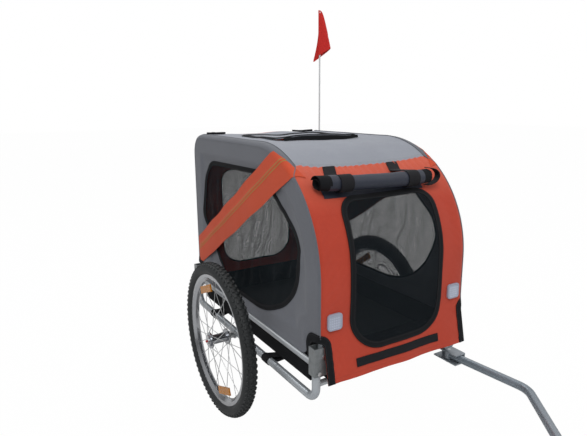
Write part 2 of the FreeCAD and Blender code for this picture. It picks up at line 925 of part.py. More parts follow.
def door_set(end, run, y, along):
    # the panel with its doorway, the mesh of the door and the binding round it
    lap = size("door_lap")
    bound = size("binding")
    wide = size("door_half_width")
    low = size("door_bottom")
    high = size("door_top")
    top = size("door_round")
    foot = size("door_foot_round")
    way = upright_block(f"{end}_doorway", wide, low, high, (foot, top), y, along)
    panel = sheet(f"{end}_panel_sheet", run, 0, fabric, panelHalf)
    keep(cut(f"{end}_panel_cut", panel, way), f"{end}_panel")
    edge = upright_block(
        f"{end}_door_edge", wide + lap, low - lap, high + lap, (foot + lap, top + lap), y, along
    )
    field = upright_block(
        f"{end}_door_field",
        wide + lap - bound,
        low - lap + bound,
        high + lap - bound,
        (foot + lap - bound, top + lap - bound),
        y,
        along,
    )
    lift = -gap - size("mesh")
    layer = sheet(f"{end}_door_layer", run, lift, -gap, panelHalf)
    whole = common(f"{end}_door_whole", layer, edge)
    keep(common(f"{end}_door_net", whole, field), f"{end}_door_mesh")
    thick = sheet(f"{end}_door_thick", run, lift - size("mesh") / 2, -gap, panelHalf)
    frame = common(f"{end}_door_frame_sheet", thick, edge)
    keep(cut(f"{end}_door_frame", frame, field), f"{end}_door_binding")


door_set("front", front_run, -coverFront - size("doorway_depth") / 2, Vector(0, 1, 0))
door_set("rear", rear_run, coverRear + size("doorway_depth") / 2, Vector(0, -1, 0))

roofTop = size("roof_height")
skylight = [
    at(-size("skylight_half_width"), -size("skylight_front"), roofTop - coverCorner),
    at(size("skylight_half_width"), -size("skylight_front"), roofTop - coverCorner),
    at(size("skylight_half_width"), size("skylight_rear"), roofTop - coverCorner),
    at(-size("skylight_half_width"), size("skylight_rear"), roofTop - coverCorner),
]
skylightTool = prism("skylight_way", skylight, size("skylight_round"), Vector(0, 0, 1), "dims.doorway_depth")
roof = sheet("roof_sheet", roof_run, 0, fabric, panelHalf)
keep(cut("roof_cut", roof, skylightTool), "roof_panel")
flapHalf = size("skylight_half_width") + size("flap_lap")
flapFront = -size("skylight_front") - size("flap_lap")
flapRear = size("skylight_rear") + size("flap_lap")
flap = [
    at(-flapHalf, flapFront, roofTop + gap),
    at(flapHalf, flapFront, roofTop + gap),
    at(flapHalf, flapRear, roofTop + gap),
    at(-flapHalf, flapRear, roofTop + gap),
]
keep(prism("flap_sheet", flap, size("skylight_round"), Vector(0, 0, 1), "dims.fabric"), "roof_flap")


def side_cover(side, hand):
    inner = hand * sideInner
    outward = Vector(hand, 0, 0)
    low = size("side_bottom")
    knee = size("knee_height")
    cornerCut = size("corner_cut")
    outline = [
        at(inner, -coverFront, knee),
        at(inner, -coverFront, roofTop),
        at(inner, coverRear, roofTop),
        at(inner, coverRear, knee),
        at(inner, coverRear - cornerCut, knee),
        at(inner, coverRear - cornerCut, low),
        at(inner, -coverFront + cornerCut, low),
        at(inner, -coverFront + cornerCut, knee),
    ]
    tight = size("corner_cut_round")
    radii = [0, coverArc, coverCorner, 0, tight, tight / 2, tight / 2, tight]
    panel = prism(f"{side}_side_sheet", outline, radii, outward, "dims.fabric")

    def from_share(x, share):
        along, up = share
        return at(x, -coverFront + along * (coverFront + coverRear), low + up * (roofTop - low))

    def window(name, x, length, shrink):
        corners = [from_share(x, share) for share in WINDOW_SHARES]
        middle = sum(corners, Vector()) * (1 / len(corners))
        reach = max((corner - middle).Length for corner in corners)
        corners = [middle + (corner - middle) * (1 - shrink / reach) for corner in corners]
        return prism(name, corners, size("window_round"), outward, length)

    hole = window(f"{side}_window_way", inner - hand * overrun, "dims.fabric + 2 * dims.overrun", 0)
    keep(cut(f"{side}_side_cut", panel, hole), f"{side}_side_panel")
    keep(window(f"{side}_window_net", inner, "dims.mesh", 2 * gap), f"{side}_window_mesh")
    bandX = inner + hand * (fabric + gap)
    strip = [from_share(bandX, share) for share in BAND_SHARES]
    keep(prism(f"{side}_band_sheet", strip, 0, outward, "dims.band"), f"{side}_band")


for side, hand, _ in SIDES:
    side_cover(side, hand)


# Weather cover rolled up above the front door, with its two ties.
rollOffset = size("roll_d") / 2 + size("tie_slack") + size("tie") + gap
rollSpot = on_arc(ROLL_ANGLE, -rollOffset)
rollEnds = size("roll_half_length")
rollCurve = rollEnds * rollEnds / size("roll_sag") / 4
rollSlope = 2 * size("roll_sag") / rollEnds
downward = Vector(0, -math.sin(math.radians(ROLL_ANGLE)), -math.cos(math.radians(ROLL_ANGLE)))
rollRoute = path(
    "roll_route",
    [
        rollSpot + Vector(-rollEnds, 0, 0),
        rollSpot + downward * (2 * size("roll_sag")),
        rollSpot + Vector(rollEnds, 0, 0),
    ],
    rollCurve,
)
keep(sweep("roll_body", rollRoute, "dims.roll_d / 2"), "rolled_cover")


def roll_sag_at(x):
    inBend = max(rollCurve * rollSlope - abs(x), 0.0)
    return downward * (2 * size("roll_sag") - rollSlope * abs(x) - inBend * inBend / rollCurve / 2)


ties = []
for tieX in (size("tie_left"), -size("tie_right")):
    edges = (tieX - size("tie_width") / 2, tieX + size("tie_width") / 2)
    start, end = (rollSpot + Vector(x, 0, 0) + roll_sag_at(x) for x in edges)
    inside = "dims.roll_d / 2 + dims.tie_slack"
    loop = cylinder("tie_outer", f"{inside} + dims.tie", "dims.tie_width", start, end - start)
    hole = cylinder("tie_inner", inside, "dims.tie_width", start, end - start)
    ties.append(cut("tie_loop", loop, hole))
keep(group("tie_group", ties), "roll_ties")

reflectors = []
for hand in (-1, 1):
    middle = hand * size("reflector_reach")
    halfSide = size("reflector_side") / 2
    y = -coverFront - gap
    corners = [
        at(middle - halfSide, y, size("reflector_height") - halfSide),
        at(middle + halfSide, y, size("reflector_height") - halfSide),
        at(middle + halfSide, y, size("reflector_height") + halfSide),
        at(middle - halfSide, y, size("reflector_height") + halfSide),
    ]
    reflectors.append(
        prism("reflector_plate", corners, size("reflector_round"), Vector(0, -1, 0), "dims.reflector")
    )
keep(group("reflector_group", reflectors), "front_reflectors")


# Tub of the floor, its board and the straps that hold it to the lower rails.
tubFront = -size("post_front") + nest + bracketHalf + size("tub_end_gap")


def tub_box(name, inset, bottom, top):
    box = doc.addObject("Part::Box", name)
    bind(
        box,
        Length=f"2 * (linked.tub_reach - ({inset}))",
        Width="dims.post_front + dims.post_rear - 2 * (dims.nest + dims.rail_d / 2 + dims.seat_gap / 2"
        f" + dims.bracket_wall + dims.tub_end_gap + {inset})",
        Height=f"{top} - ({bottom})",
    )
    shrink = float(box.evalExpression(inset))
    base = float(box.evalExpression(bottom))
    box.Placement = Placement(at(-size("tub_reach") + shrink, tubFront + shrink, base), Rotation())
    return box


tubOuter = tub_box("tub_outer", "0 * dims.fabric", "linked.tub_bottom", "linked.tub_top")
tubInner = tub_box(
    "tub_inner", "dims.fabric", "linked.tub_bottom + dims.fabric", "linked.tub_top + dims.overrun"
)
keep(cut("tub_cut", tubOuter, tubInner), "floor_tub")
boardFloor = "linked.tub_bottom + dims.fabric + dims.seat_gap"
board = tub_box("board_box", "dims.fabric + dims.tub_gap", boardFloor, f"{boardFloor} + dims.floor_board")
keep(board, "floor_board")

straps = []
for _, hand, _ in SIDES:
    for middle in (-size("strap_front"), size("strap_rear")):
        y = middle - size("strap_width") / 2
        railCentre = at(hand * size("rail_reach"), y, size("axle_height"))
        loop = cylinder(
            "strap_outer",
            "dims.rail_d / 2 + dims.seat_gap + dims.strap",
            "dims.strap_width",
            railCentre,
            Vector(0, 1, 0),
        )
        hole = cylinder(
            "strap_inner", "dims.rail_d / 2 + dims.seat_gap", "dims.strap_width", railCentre, Vector(0, 1, 0)
        )
        near = size("tub_reach") + gap
        tabLow = size("axle_height") + railRadius + gap
        tab = prism(
            "strap_tab",
            [
                at(hand * near, y, tabLow - size("strap")),
                at(hand * (near + size("strap")), y, tabLow - size("strap")),
                at(hand * (near + size("strap")), y, size("strap_top")),
                at(hand * near, y, size("strap_top")),
            ],
            0,
            Vector(0, 1, 0),
            "dims.strap_width",
        )
        ring = cut("strap_ring", fuse("strap_body", loop, tab), hole)
        buckle = doc.addObject("Part::Box", "strap_buckle")
        bind(buckle, Length="dims.buckle", Width="dims.buckle_width", Height="dims.buckle_height")
        buckleX = near + size("strap") + gap
        low = size("buckle_centre") - size("buckle_height") / 2
        cornerX = hand * buckleX if hand > 0 else -buckleX - size("buckle")
        buckle.Placement = Placement(at(cornerX, middle - size("buckle_width") / 2, low), Rotation())
        straps += [ring, buckle]
keep(group("strap_group", straps), "tub_straps")


# Tow bracket, a pressed C under the left rail, and the arm that swings in it.
pivotX = size("tow_pivot_reach")
pivotY = -size("tow_pivot_front")
plateTop = size("axle_height") - railRadius
armRadius = size("tow_d") / 2
plateLow = armHeight - armRadius - size("tow_gap") - size("tow_plate")
insideX = pivotX - size("tow_plate_inside")
webX = pivotX + size("tow_plate_outside")
plate = size("tow_plate")
section = [
    (insideX, plateTop),
    (insideX, plateTop - plate),
    (webX, plateTop - plate),
    (webX, plateLow + plate),
    (insideX, plateLow + plate),
    (insideX, plateLow),
    (webX + plate, plateLow),
    (webX + plate, plateTop),
]
channel = prism(
    "tow_channel",
    [at(x, pivotY - size("tow_plate_front"), z) for x, z in section],
    0,
    Vector(0, 1, 0),
    "dims.tow_plate_front + dims.tow_plate_rear",
)
towBore = cylinder(
    "tow_bore",
    "dims.tow_bolt_d / 2 + dims.fit_gap",
    "2 * dims.tow_d",
    at(pivotX, pivotY, armHeight - size("tow_d")),
    Vector(0, 0, 1),
)
keep(cut("tow_channel_cut", channel, towBore), "tow_bracket")
shank = cylinder(
    "tow_shank",
    "dims.tow_bolt_d / 2",
    "dims.tow_d + 2 * dims.tow_gap + 2 * dims.tow_plate + dims.tow_nut / 2",
    at(pivotX, pivotY, plateLow - size("tow_nut") / 2),
    Vector(0, 0, 1),
)
nut = cylinder(
    "tow_nut_body",
    "dims.tow_nut_d / 2",
    "dims.tow_nut",
    at(pivotX, pivotY, plateLow - size("tow_nut")),
    Vector(0, 0, 1),
)
dome = doc.addObject("Part::Sphere", "tow_nut_dome")
bind(dome, Radius="dims.tow_nut_d / 2 + dims.tow_nut / 4")
dome.Placement = Placement(at(pivotX, pivotY, plateLow), Rotation())
keep(fuse("tow_bolt", shank, common("tow_nut_round", nut, dome)), "tow_pivot_bolt")

armEnd = at(size("tow_end_reach"), -size("tow_end_front"), armHeight)
armRoute = path(
    "arm_route",
    [
        at(pivotX, pivotY, armHeight),
        at(size("tow_bend_reach"), -size("tow_bend_front"), armHeight),
        armEnd,
    ],
    size("tow_bend"),
)
armTube = cut(
    "arm_tube",
    sweep("arm_outer", armRoute, "dims.tow_d / 2"),
    sweep("arm_inner", armRoute, "dims.tow_d / 2 - dims.tow_wall"),
)
lugLow = armHeight - armRadius + size("tow_gap")
lug = cylinder(
    "arm_lug",
    "dims.tow_lug_d / 2",
    "dims.tow_d - 2 * dims.tow_gap",
    at(pivotX, pivotY, lugLow),
    Vector(0, 0, 1),
)
keep(cut("arm_bored", fuse("arm_body", armTube, lug), towBore), "tow_arm")

# Elastic joint with two grooves, then the swivelling fork and its pin.
flexRings = []
flexBody = cylinder("flex_core", "dims.flex_d / 2", "dims.flex_length", armEnd, towRun)
for share in (1 / 3, 2 / 3):
    middle = armEnd + towRun * (share * size("flex_length") - size("flex_groove") / 2)
    outside = "dims.flex_d / 2 + dims.overrun"
    root = "dims.flex_d / 2 - dims.flex_groove"
    outerRing = cylinder("flex_groove_outer", outside, "dims.flex_groove", middle, towRun)
    innerRing = cylinder("flex_groove_inner", root, "dims.flex_groove", middle, towRun)
    flexRings.append(cut("flex_ring", outerRing, innerRing))
keep(cut("flex_cut", flexBody, *flexRings), "hitch_flex")

neckStart = armEnd + towRun * (size("flex_length") + gap)
neck = cylinder(
    "coupler_neck_rod", "dims.coupler_d / 2", "dims.coupler_neck - dims.seat_gap", neckStart, towRun
)
forkStart = armEnd + towRun * (size("flex_length") + size("coupler_neck"))
across = Vector(-towRun.y, towRun.x, 0)
tall = Vector(0, 0, size("coupler_height") / 2)
forkHalf = across * (size("coupler_d") / 2)
forkRun = towRun * size("coupler_fork")
fork = prism(
    "coupler_fork_block",
    [
        forkStart - forkHalf - tall,
        forkStart + forkRun - forkHalf - tall,
        forkStart + forkRun - forkHalf + tall,
        forkStart - forkHalf + tall,
    ],
    [0, size("coupler_height") / 2.5, size("coupler_height") / 2.5, 0],
    across,
    "dims.coupler_d",
)
slotHalf = across * (size("coupler_slot") / 2)
slotStart = forkStart + towRun * size("coupler_root")
slot = prism(
    "coupler_slot_block",
    [
        slotStart - slotHalf - tall * 2,
        slotStart + forkRun - slotHalf - tall * 2,
        slotStart + forkRun - slotHalf + tall * 2,
        slotStart - slotHalf + tall * 2,
    ],
    0,
    across,
    "dims.coupler_slot",
)
pinCentre = forkStart + towRun * (size("coupler_fork") - size("pin_setback"))
pinBore = cylinder(
    "coupler_pin_bore",
    "dims.hitch_pin_d / 2 + dims.fit_gap",
    "2 * dims.coupler_d",
    pinCentre - across * size("coupler_d"),
    across,
)
strapHole = cylinder(
    "coupler_strap_hole",
    "dims.strap_hole_d / 2",
    "2 * dims.coupler_height",
    forkStart + towRun * (size("coupler_root") / 2) - tall * 2,
    Vector(0, 0, 1),
)
keep(cut("coupler_cut", fuse("coupler_body", neck, fork), slot, pinBore, strapHole), "hitch_coupler")
pinTail = pinCentre - across * (size("coupler_d") / 2 + size("hitch_pin_tail"))
pinShank = cylinder(
    "hitch_pin_shank",
    "dims.hitch_pin_d / 2",
    "dims.coupler_d + dims.hitch_pin_tail + dims.seat_gap",
    pinTail,
    across,
)
pinHead = cylinder(
    "hitch_pin_knob",
    "dims.hitch_pin_head_d / 2",
    "dims.hitch_pin_head",
    pinCentre + across * (size("coupler_d") / 2 + gap),
    across,
)
keep(fuse("hitch_pin_body", pinShank, pinHead), "hitch_pin")


# Whip flag in a socket on the outside of the left rear bracket.
poleX = bracketOuter + size("socket_d") / 2
poleY = size("post_rear") - nest
upward = Vector(0, 0, 1)
socket = cylinder(
    "socket_outer",
    "dims.socket_d / 2",
    "linked.socket_top - linked.socket_bottom",
    at(poleX, poleY, size("socket_bottom")),
    upward,
)
poleLow = size("socket_bottom") + size("socket_floor")
socketBore = cylinder(
    "socket_bore",
    "dims.pole_d / 2 + dims.fit_gap",
    "linked.socket_top - linked.socket_bottom",
    at(poleX, poleY, poleLow),
    upward,
)
keep(cut("socket_cut", socket, socketBore), "flag_socket")
pole = cylinder(
    "pole_rod",
    "dims.pole_d / 2",
    "linked.pole_top - linked.socket_bottom - dims.socket_floor",
    at(poleX, poleY, poleLow),
    upward,
)
keep(pole, "flag_pole")

flagHigh = size("pole_top") - size("flag_top_gap")
flagLow = flagHigh - size("flag_hoist")
sleeveOuter = cylinder(
    "flag_sleeve_outer",
    "dims.pole_d / 2 + dims.fit_gap + dims.flag_sleeve",
    "dims.flag_hoist",
    at(poleX, poleY, flagLow),
    upward,
)
sleeveInner = cylinder(
    "flag_sleeve_inner",
    "dims.pole_d / 2 + dims.fit_gap",
    "dims.flag_hoist",
    at(poleX, poleY, flagLow),
    upward,
)
clothStart = size("pole_d") / 2 + size("flag_sleeve") / 2
fold = size("flag_fold")
pitch = size("flag_fold_pitch")
foldRoute = path(
    "flag_route",
    [
        at(poleX + clothStart, poleY, flagLow),
        at(poleX + clothStart + fold, poleY - pitch / 2, flagLow),
        at(poleX + clothStart, poleY - pitch * 1.5, flagLow),
        at(poleX + clothStart - fold * 1.2, poleY - pitch * 2, flagLow),
        at(poleX + clothStart - fold * 0.5, poleY - pitch * 3, flagLow),
    ],
    size("flag_fold_round"),
)
first = foldRoute.Shape.Edges[0]
sideways = first.tangentAt(first.FirstParameter).cross(upward).normalize() * (size("flag_cloth") / 2)
origin = first.valueAt(first.FirstParameter)
rise = upward * size("flag_hoist")
clothSection = doc.addObject("Part::Feature", "flag_section")
clothSection.Shape = Part.makePolygon(
    [
        origin - sideways,
        origin + sideways,
        origin + sideways + rise,
        origin - sideways + rise,
        origin - sideways,
    ]
)
cloth = doc.addObject("Part::Sweep", "flag_cloth_sweep")
cloth.Sections = [clothSection]
cloth.Spine = (foldRoute, [f"Edge{n + 1}" for n in range(len(foldRoute.Shape.Edges))])
cloth.Solid = True
slopes = []
for hand in (-1, 1):
    near = hand * (size("pole_d") / 2 + size("flag_sleeve") + gap)
    far = hand * (2 * fold + overrun)
    corners = [
        at(poleX + near, poleY - size("flag_hoist"), flagHigh + overrun),
        at(poleX + far, poleY - size("flag_hoist"), flagHigh + overrun),
        at(poleX + far, poleY - size("flag_hoist"), flagHigh - size("flag_droop")),
        at(poleX + near, poleY - size("flag_hoist"), flagHigh - size("flag_shoulder")),
    ]
    slopes.append(prism("flag_slope", corners, 0, Vector(0, 1, 0), "2 * dims.flag_hoist"))
flagBody = fuse("flag_body", sleeveOuter, cloth)
keep(cut("flag_cut", flagBody, sleeveInner, *slopes), "flag")

doc.recompute()
for thing in doc.Objects:
    if "Invalid" in thing.State or "Error" in thing.State:
        raise RuntimeError(f"{thing.Name}: {thing.State}")
for thing in parts:
    if thing.Shape.isNull() or not thing.Shape.isValid() or not thing.Shape.Solids:
        raise RuntimeError(f"{thing.Label}: bad shape")
os.makedirs("parts", exist_ok=True)
for thing in parts:
    thing.Shape.exportStep(f"parts/{thing.Label}.step")
print(f"{len(parts)} parts, axle at y = {axleY:.2f}")
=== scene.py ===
import math

import bpy
import numpy as np
from mathutils import Matrix, Vector


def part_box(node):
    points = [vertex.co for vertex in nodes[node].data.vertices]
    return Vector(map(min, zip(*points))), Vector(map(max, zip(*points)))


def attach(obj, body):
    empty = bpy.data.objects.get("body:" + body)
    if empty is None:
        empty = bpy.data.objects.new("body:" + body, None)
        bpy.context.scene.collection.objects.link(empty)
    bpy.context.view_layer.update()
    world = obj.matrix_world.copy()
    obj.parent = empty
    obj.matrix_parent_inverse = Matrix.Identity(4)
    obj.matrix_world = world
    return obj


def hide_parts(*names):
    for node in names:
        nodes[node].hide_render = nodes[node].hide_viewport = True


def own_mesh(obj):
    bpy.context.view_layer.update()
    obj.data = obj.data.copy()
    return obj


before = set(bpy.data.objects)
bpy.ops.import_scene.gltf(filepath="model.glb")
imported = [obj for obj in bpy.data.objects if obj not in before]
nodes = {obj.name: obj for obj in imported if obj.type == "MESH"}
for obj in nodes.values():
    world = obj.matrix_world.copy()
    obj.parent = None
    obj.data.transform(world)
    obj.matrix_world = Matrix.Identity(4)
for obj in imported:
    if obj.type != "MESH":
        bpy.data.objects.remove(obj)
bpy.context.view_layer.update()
rimLow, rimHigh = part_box("right_rim")
axleY = (rimLow.y + rimHigh.y) / 2  # lengthwise places below are from the axle, forward is -y
axleZ = (rimLow.z + rimHigh.z) / 2
hands = (("right", -1), ("left", 1))
fullTurn = 2 * math.pi


def clearChoice():
    if bpy.context.mode != "OBJECT":
        bpy.ops.object.mode_set(mode="OBJECT")
    bpy.ops.object.select_all(action="DESELECT")


def choose(piece):
    clearChoice()
    piece.select_set(True)
    bpy.context.view_layer.objects.active = piece


def added(operator, name=None, **values):
    # runs an operator that adds one object
    clearChoice()
    operator(**values)
    piece = bpy.context.object
    piece.name = name or piece.name
    return piece


def edit(piece, operator, part=None, chosen=None, **values):
    # runs a mesh operator on the whole piece, or on chosen faces or edges
    choose(piece)
    bpy.ops.object.mode_set(mode="EDIT")
    if part:
        bpy.ops.mesh.select_mode(type=part)
    bpy.ops.mesh.select_all(action="DESELECT" if part else "SELECT")
    if part:
        bpy.ops.object.mode_set(mode="OBJECT")
        items = piece.data.polygons if part == "FACE" else piece.data.edges
        items.foreach_set("select", chosen)
        bpy.ops.object.mode_set(mode="EDIT")
    operator(**values)
    bpy.ops.object.mode_set(mode="OBJECT")


def modified(piece, kind, **values):
    # adds a modifier, sets it and applies it
    modifier = piece.modifiers.new(kind.lower(), kind)
    for name, value in values.items():
        setattr(modifier, name, value)
    choose(piece)
    bpy.ops.object.modifier_apply(modifier=modifier.name)


def settle(piece):
    choose(piece)
    bpy.ops.object.transform_apply(location=True, rotation=True, scale=True)


def flip(piece):
    edit(piece, bpy.ops.mesh.flip_normals)


def weld(piece, reach):
    edit(piece, bpy.ops.mesh.remove_doubles, threshold=reach)


def gathered(items, name, width=1, kind=float):
    # a value, or a row of them, from each item of a mesh
    flat = np.zeros(len(items) * width, kind)
    items.foreach_get(name, flat)
    return flat.reshape(-1, width) if width > 1 else flat


def points(piece):
    return gathered(piece.data.vertices, "co", 3)


def setPoints(piece, where):
    piece.data.vertices.foreach_set("co", np.asarray(where, np.float32).ravel())
    piece.data.update()


def smooth(piece, degrees=40):
    choose(piece)
    bpy.ops.object.shade_smooth_by_angle(angle=math.radians(degrees))


def joined(name, pieces):
    clearChoice()
    for piece in pieces:
        piece.select_set(True)
    bpy.context.view_layer.objects.active = pieces[0]
    bpy.ops.object.join()
    pieces[0].name = name
    return pieces[0]


def dress(piece, material, body, replaces=()):
    piece.data.materials.clear()
    piece.data.materials.append(material)
    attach(piece, body)
    if replaces:
        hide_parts(*replaces)


def feed(node, inputs):
    # inputs are values or the outlets of other nodes
    for socket, value in inputs.items():
        if isinstance(value, bpy.types.NodeSocket):
            node.id_data.links.new(value, node.inputs[socket])
        else:
            node.inputs[socket].default_value = value


def addNode(tree, kind, inputs=None, **settings):
    node = tree.nodes.new("ShaderNode" + kind)
    for name, value in settings.items():
        setattr(node, name, value)
    feed(node, inputs or {})
    return node


def calc(operation, *values):
    # a sum on the outlets of other nodes, in the tree that they are in
    tree = next(value.id_data for value in values if isinstance(value, bpy.types.NodeSocket))
    return addNode(tree, "Math", dict(enumerate(values)), operation=operation).outputs[0]


def split(place):
    return addNode(place.id_data, "SeparateXYZ", {0: place}).outputs


def emptyTree(owner):
    owner.use_nodes = True
    owner.node_tree.nodes.clear()
    return owner.node_tree


cameraSet = {
    "lens": 31.736,
    "spot": (-0.915357, -1.453008, 0.989053),
    "right": (0.856148, -0.516703, -0.005339),
    "up": (0.115950, 0.182033, 0.976432),
}


def fromAxle(*spot):
    return Vector(spot) + Vector((0, axleY, 0))


def makeCamera():
    camera = added(bpy.ops.object.camera_add, "photoCamera")
    camera.data.lens = cameraSet["lens"]
    camera.data.clip_start = 0.05
    right, up = Vector(cameraSet["right"]), Vector(cameraSet["up"])
    turn = Matrix((right, up, right.cross(up))).transposed().to_4x4()
    camera.matrix_world = Matrix.Translation(fromAxle(*cameraSet["spot"])) @ turn
    bpy.context.scene.camera = camera


lightSet = {
    "world": 0.5,
    "mirrored": {"From Min": 0.0, "From Max": 0.7, "To Min": 0.14, "To Max": 1.1},
    "aim": (0, 0, 0.5),
    "lamps": {
        "key": {"spot": (-1.6, -2.4, 3.6), "size": 2.2, "power": 72},
        "fill": {"spot": (2.8, -1.6, 2.0), "size": 3.0, "power": 20},
        "back": {"spot": (-0.2, 2.2, 3.4), "size": 2.6, "power": 42},
    },
    "floor": {"size": 40, "drop": 0.0005, "color": (0.8, 0.8, 0.8, 1), "paintedGlow": 0.985},
}
white = (1, 1, 1, 1)


def makeWorld():
    # white behind, half as bright as a light, and brighter overhead in what shines
    bpy.context.scene.world = bpy.data.worlds.new("studio")
    tree = emptyTree(bpy.context.scene.world)
    path = addNode(tree, "LightPath").outputs
    towards = split(addNode(tree, "TexCoord").outputs["Generated"])
    overhead = addNode(tree, "MapRange", {"Value": towards["Z"], **lightSet["mirrored"]})
    seen, lit, mirrored = (
        addNode(tree, "Background", {"Color": white, "Strength": strength}).outputs[0]
        for strength in (1.0, lightSet["world"], overhead.outputs["Result"])
    )
    shiny = addNode(tree, "MixShader", {0: path["Is Glossy Ray"], 1: lit, 2: mirrored})
    straight = calc("MAXIMUM", path["Is Camera Ray"], path["Is Transmission Ray"])
    mix = addNode(tree, "MixShader", {0: straight, 1: shiny.outputs[0], 2: seen})
    addNode(tree, "OutputWorld", {"Surface": mix.outputs[0]})


def makeLamps():
    for name, lamp in lightSet["lamps"].items():
        light = added(bpy.ops.object.light_add, name + "Light", type="AREA")
        light.data.shape = "DISK"
        light.data.size = lamp["size"]
        light.data.energy = lamp["power"]
        light.location = fromAxle(*lamp["spot"])
        aim = fromAxle(*lightSet["aim"]) - light.location
        light.rotation_euler = aim.to_track_quat("-Z", "Y").to_euler()


def makeFloor():
    g = lightSet["floor"]
    place = fromAxle(0, 0, -g["drop"])
    floor = added(bpy.ops.mesh.primitive_plane_add, "floor", size=g["size"], location=place)
    paint = bpy.data.materials.new("paleFloor")
    tree = emptyTree(paint)
    seen = addNode(tree, "LightPath").outputs["Is Camera Ray"]
    mix = addNode(tree, "MixShader", {
        0: calc("MULTIPLY", seen, g["paintedGlow"]),
        1: addNode(tree, "BsdfDiffuse", {"Color": g["color"]}).outputs[0],
        2: addNode(tree, "Emission", {"Color": white}).outputs[0],
    })
    addNode(tree, "OutputMaterial", {"Surface": mix.outputs[0]})
    floor.data.materials.append(paint)


bpy.context.scene.view_settings.view_transform = "Standard"
makeCamera()
makeWorld()
makeLamps()
makeFloor()
print("camera and light set")


def group(name, inputs, outputs):
    # a node group; an input without a value is a place
    made = bpy.data.node_groups.new(name, "ShaderNodeTree")
    socket = made.interface.new_socket
    for label, value in inputs.items():
        kind = "Vector" if value is None else "Color" if label == "Color" else "Float"
        inlet = socket(label, in_out="INPUT", socket_type="NodeSocket" + kind)
        if value is not None:
            inlet.default_value = value
    for label in outputs:
        kind = "Color" if label == "Color" else "Float"
        socket(label, in_out="OUTPUT", socket_type="NodeSocket" + kind)
    return made, made.nodes.new("NodeGroupInput").outputs, made.nodes.new("NodeGroupOutput")


def makeWeaveGroup():
    # over and under threads on the cloth's own map, which is in metres
    made, given, last = group("weave", {"Vector": None, "Pitch": 0.001}, ["Height"])
    turns = calc("DIVIDE", fullTurn, given["Pitch"])
    across, along, _ = split(given["Vector"])
    threads = [calc("SINE", calc("MULTIPLY", place, turns)) for place in (across, along)]
    feed(last, {"Height": calc("MULTIPLY_ADD", calc("MULTIPLY", *threads), 0.5, 0.5)})
    return made


def makeNetGroup():
    # round holes in staggered rows
    inputs = {"Vector": None, "Pitch": 0.003, "Open": 0.4}
    made, given, last = group("netHoles", inputs, ["Thread", "Height"])
    turns = calc("DIVIDE", fullTurn, given["Pitch"])
    across, along, _ = split(given["Vector"])
    slants = [calc(kind, across, along) for kind in ("ADD", "SUBTRACT")]
    rows = [calc("COSINE", calc("MULTIPLY", slant, turns)) for slant in slants]
    bump = calc("MULTIPLY_ADD", calc("ADD", *rows), -0.25, 0.5)
    low, high = (calc(kind, given["Open"], 0.12) for kind in ("SUBTRACT", "ADD"))
    edge = addNode(made, "MapRange", {"Value": bump, "From Min": low, "From Max": high})
    feed(last, {"Thread": edge.outputs["Result"], "Height": bump})
    return made


def makeMottleGroup():
    # uneven colour: broad fading and fine dust
    inputs = {"Vector": None, "Color": (0.5, 0.5, 0.5, 1), "Amount": 0.15, "Size": 6.0}
    made, given, last = group("mottle", inputs, ["Color", "Mask"])
    fineSize = calc("MULTIPLY", given["Size"], 14.0)
    broad, fine = (
        addNode(made, "TexNoise", {"Vector": given["Vector"], "Scale": size, "Detail": detail}).outputs[0]
        for size, detail in ((given["Size"], 5), (fineSize, 3))
    )
    both = calc("MULTIPLY_ADD", fine, 0.35, calc("MULTIPLY", broad, 0.65))
    swing = calc("MULTIPLY", calc("SUBTRACT", both, 0.5), given["Amount"])
    gain = calc("MULTIPLY_ADD", swing, 2.0, 1.0)
    scale = addNode(made, "VectorMath", {0: given["Color"], "Scale": gain}, operation="SCALE")
    feed(last, {"Color": scale.outputs[0], "Mask": both})
    return made


def makeWearGroup():
    # bare metal on worn edges
    made, given, last = group("edgeWear", {"Vector": None, "Amount": 0.5}, ["Worn"])
    noise = addNode(made, "TexNoise", {"Vector": given["Vector"], "Scale": 90, "Detail": 6}).outputs[0]
    sharp = calc("SUBTRACT", addNode(made, "NewGeometry").outputs["Pointiness"], 0.53)
    worn = calc("MULTIPLY", calc("MULTIPLY", calc("MULTIPLY", sharp, 14.0), noise), given["Amount"])
    feed(last, {"Worn": addNode(made, "Clamp", {"Value": worn}).outputs[0]})
    return made


weave = makeWeaveGroup()
netHoles = makeNetGroup()
mottle = makeMottleGroup()
edgeWear = makeWearGroup()


def useGroup(which, **inputs):
    return addNode(inputs["Vector"].id_data, "Group", inputs, node_tree=which).outputs


def mixed(share, first, second):
    return addNode(share.id_data, "Mix", {0: share, 6: first, 7: second}, data_type="RGBA").outputs[2]


def mottled(where, color, amount, size):
    return useGroup(mottle, Vector=where["Object"], Color=color, Amount=amount, Size=size)


def blank(name):
    made = bpy.data.materials.new(name)
    made.use_nodes = True
    return made, addNode(made.node_tree, "TexCoord").outputs


def finish(made, bump, inputs):
    # bump is a height, its strength and its depth in metres
    relief = addNode(made.node_tree, "Bump", dict(zip(("Height", "Strength", "Distance"), bump)))
    feed(made.node_tree.nodes["Principled BSDF"], {"Normal": relief.outputs[0], **inputs})
    return made


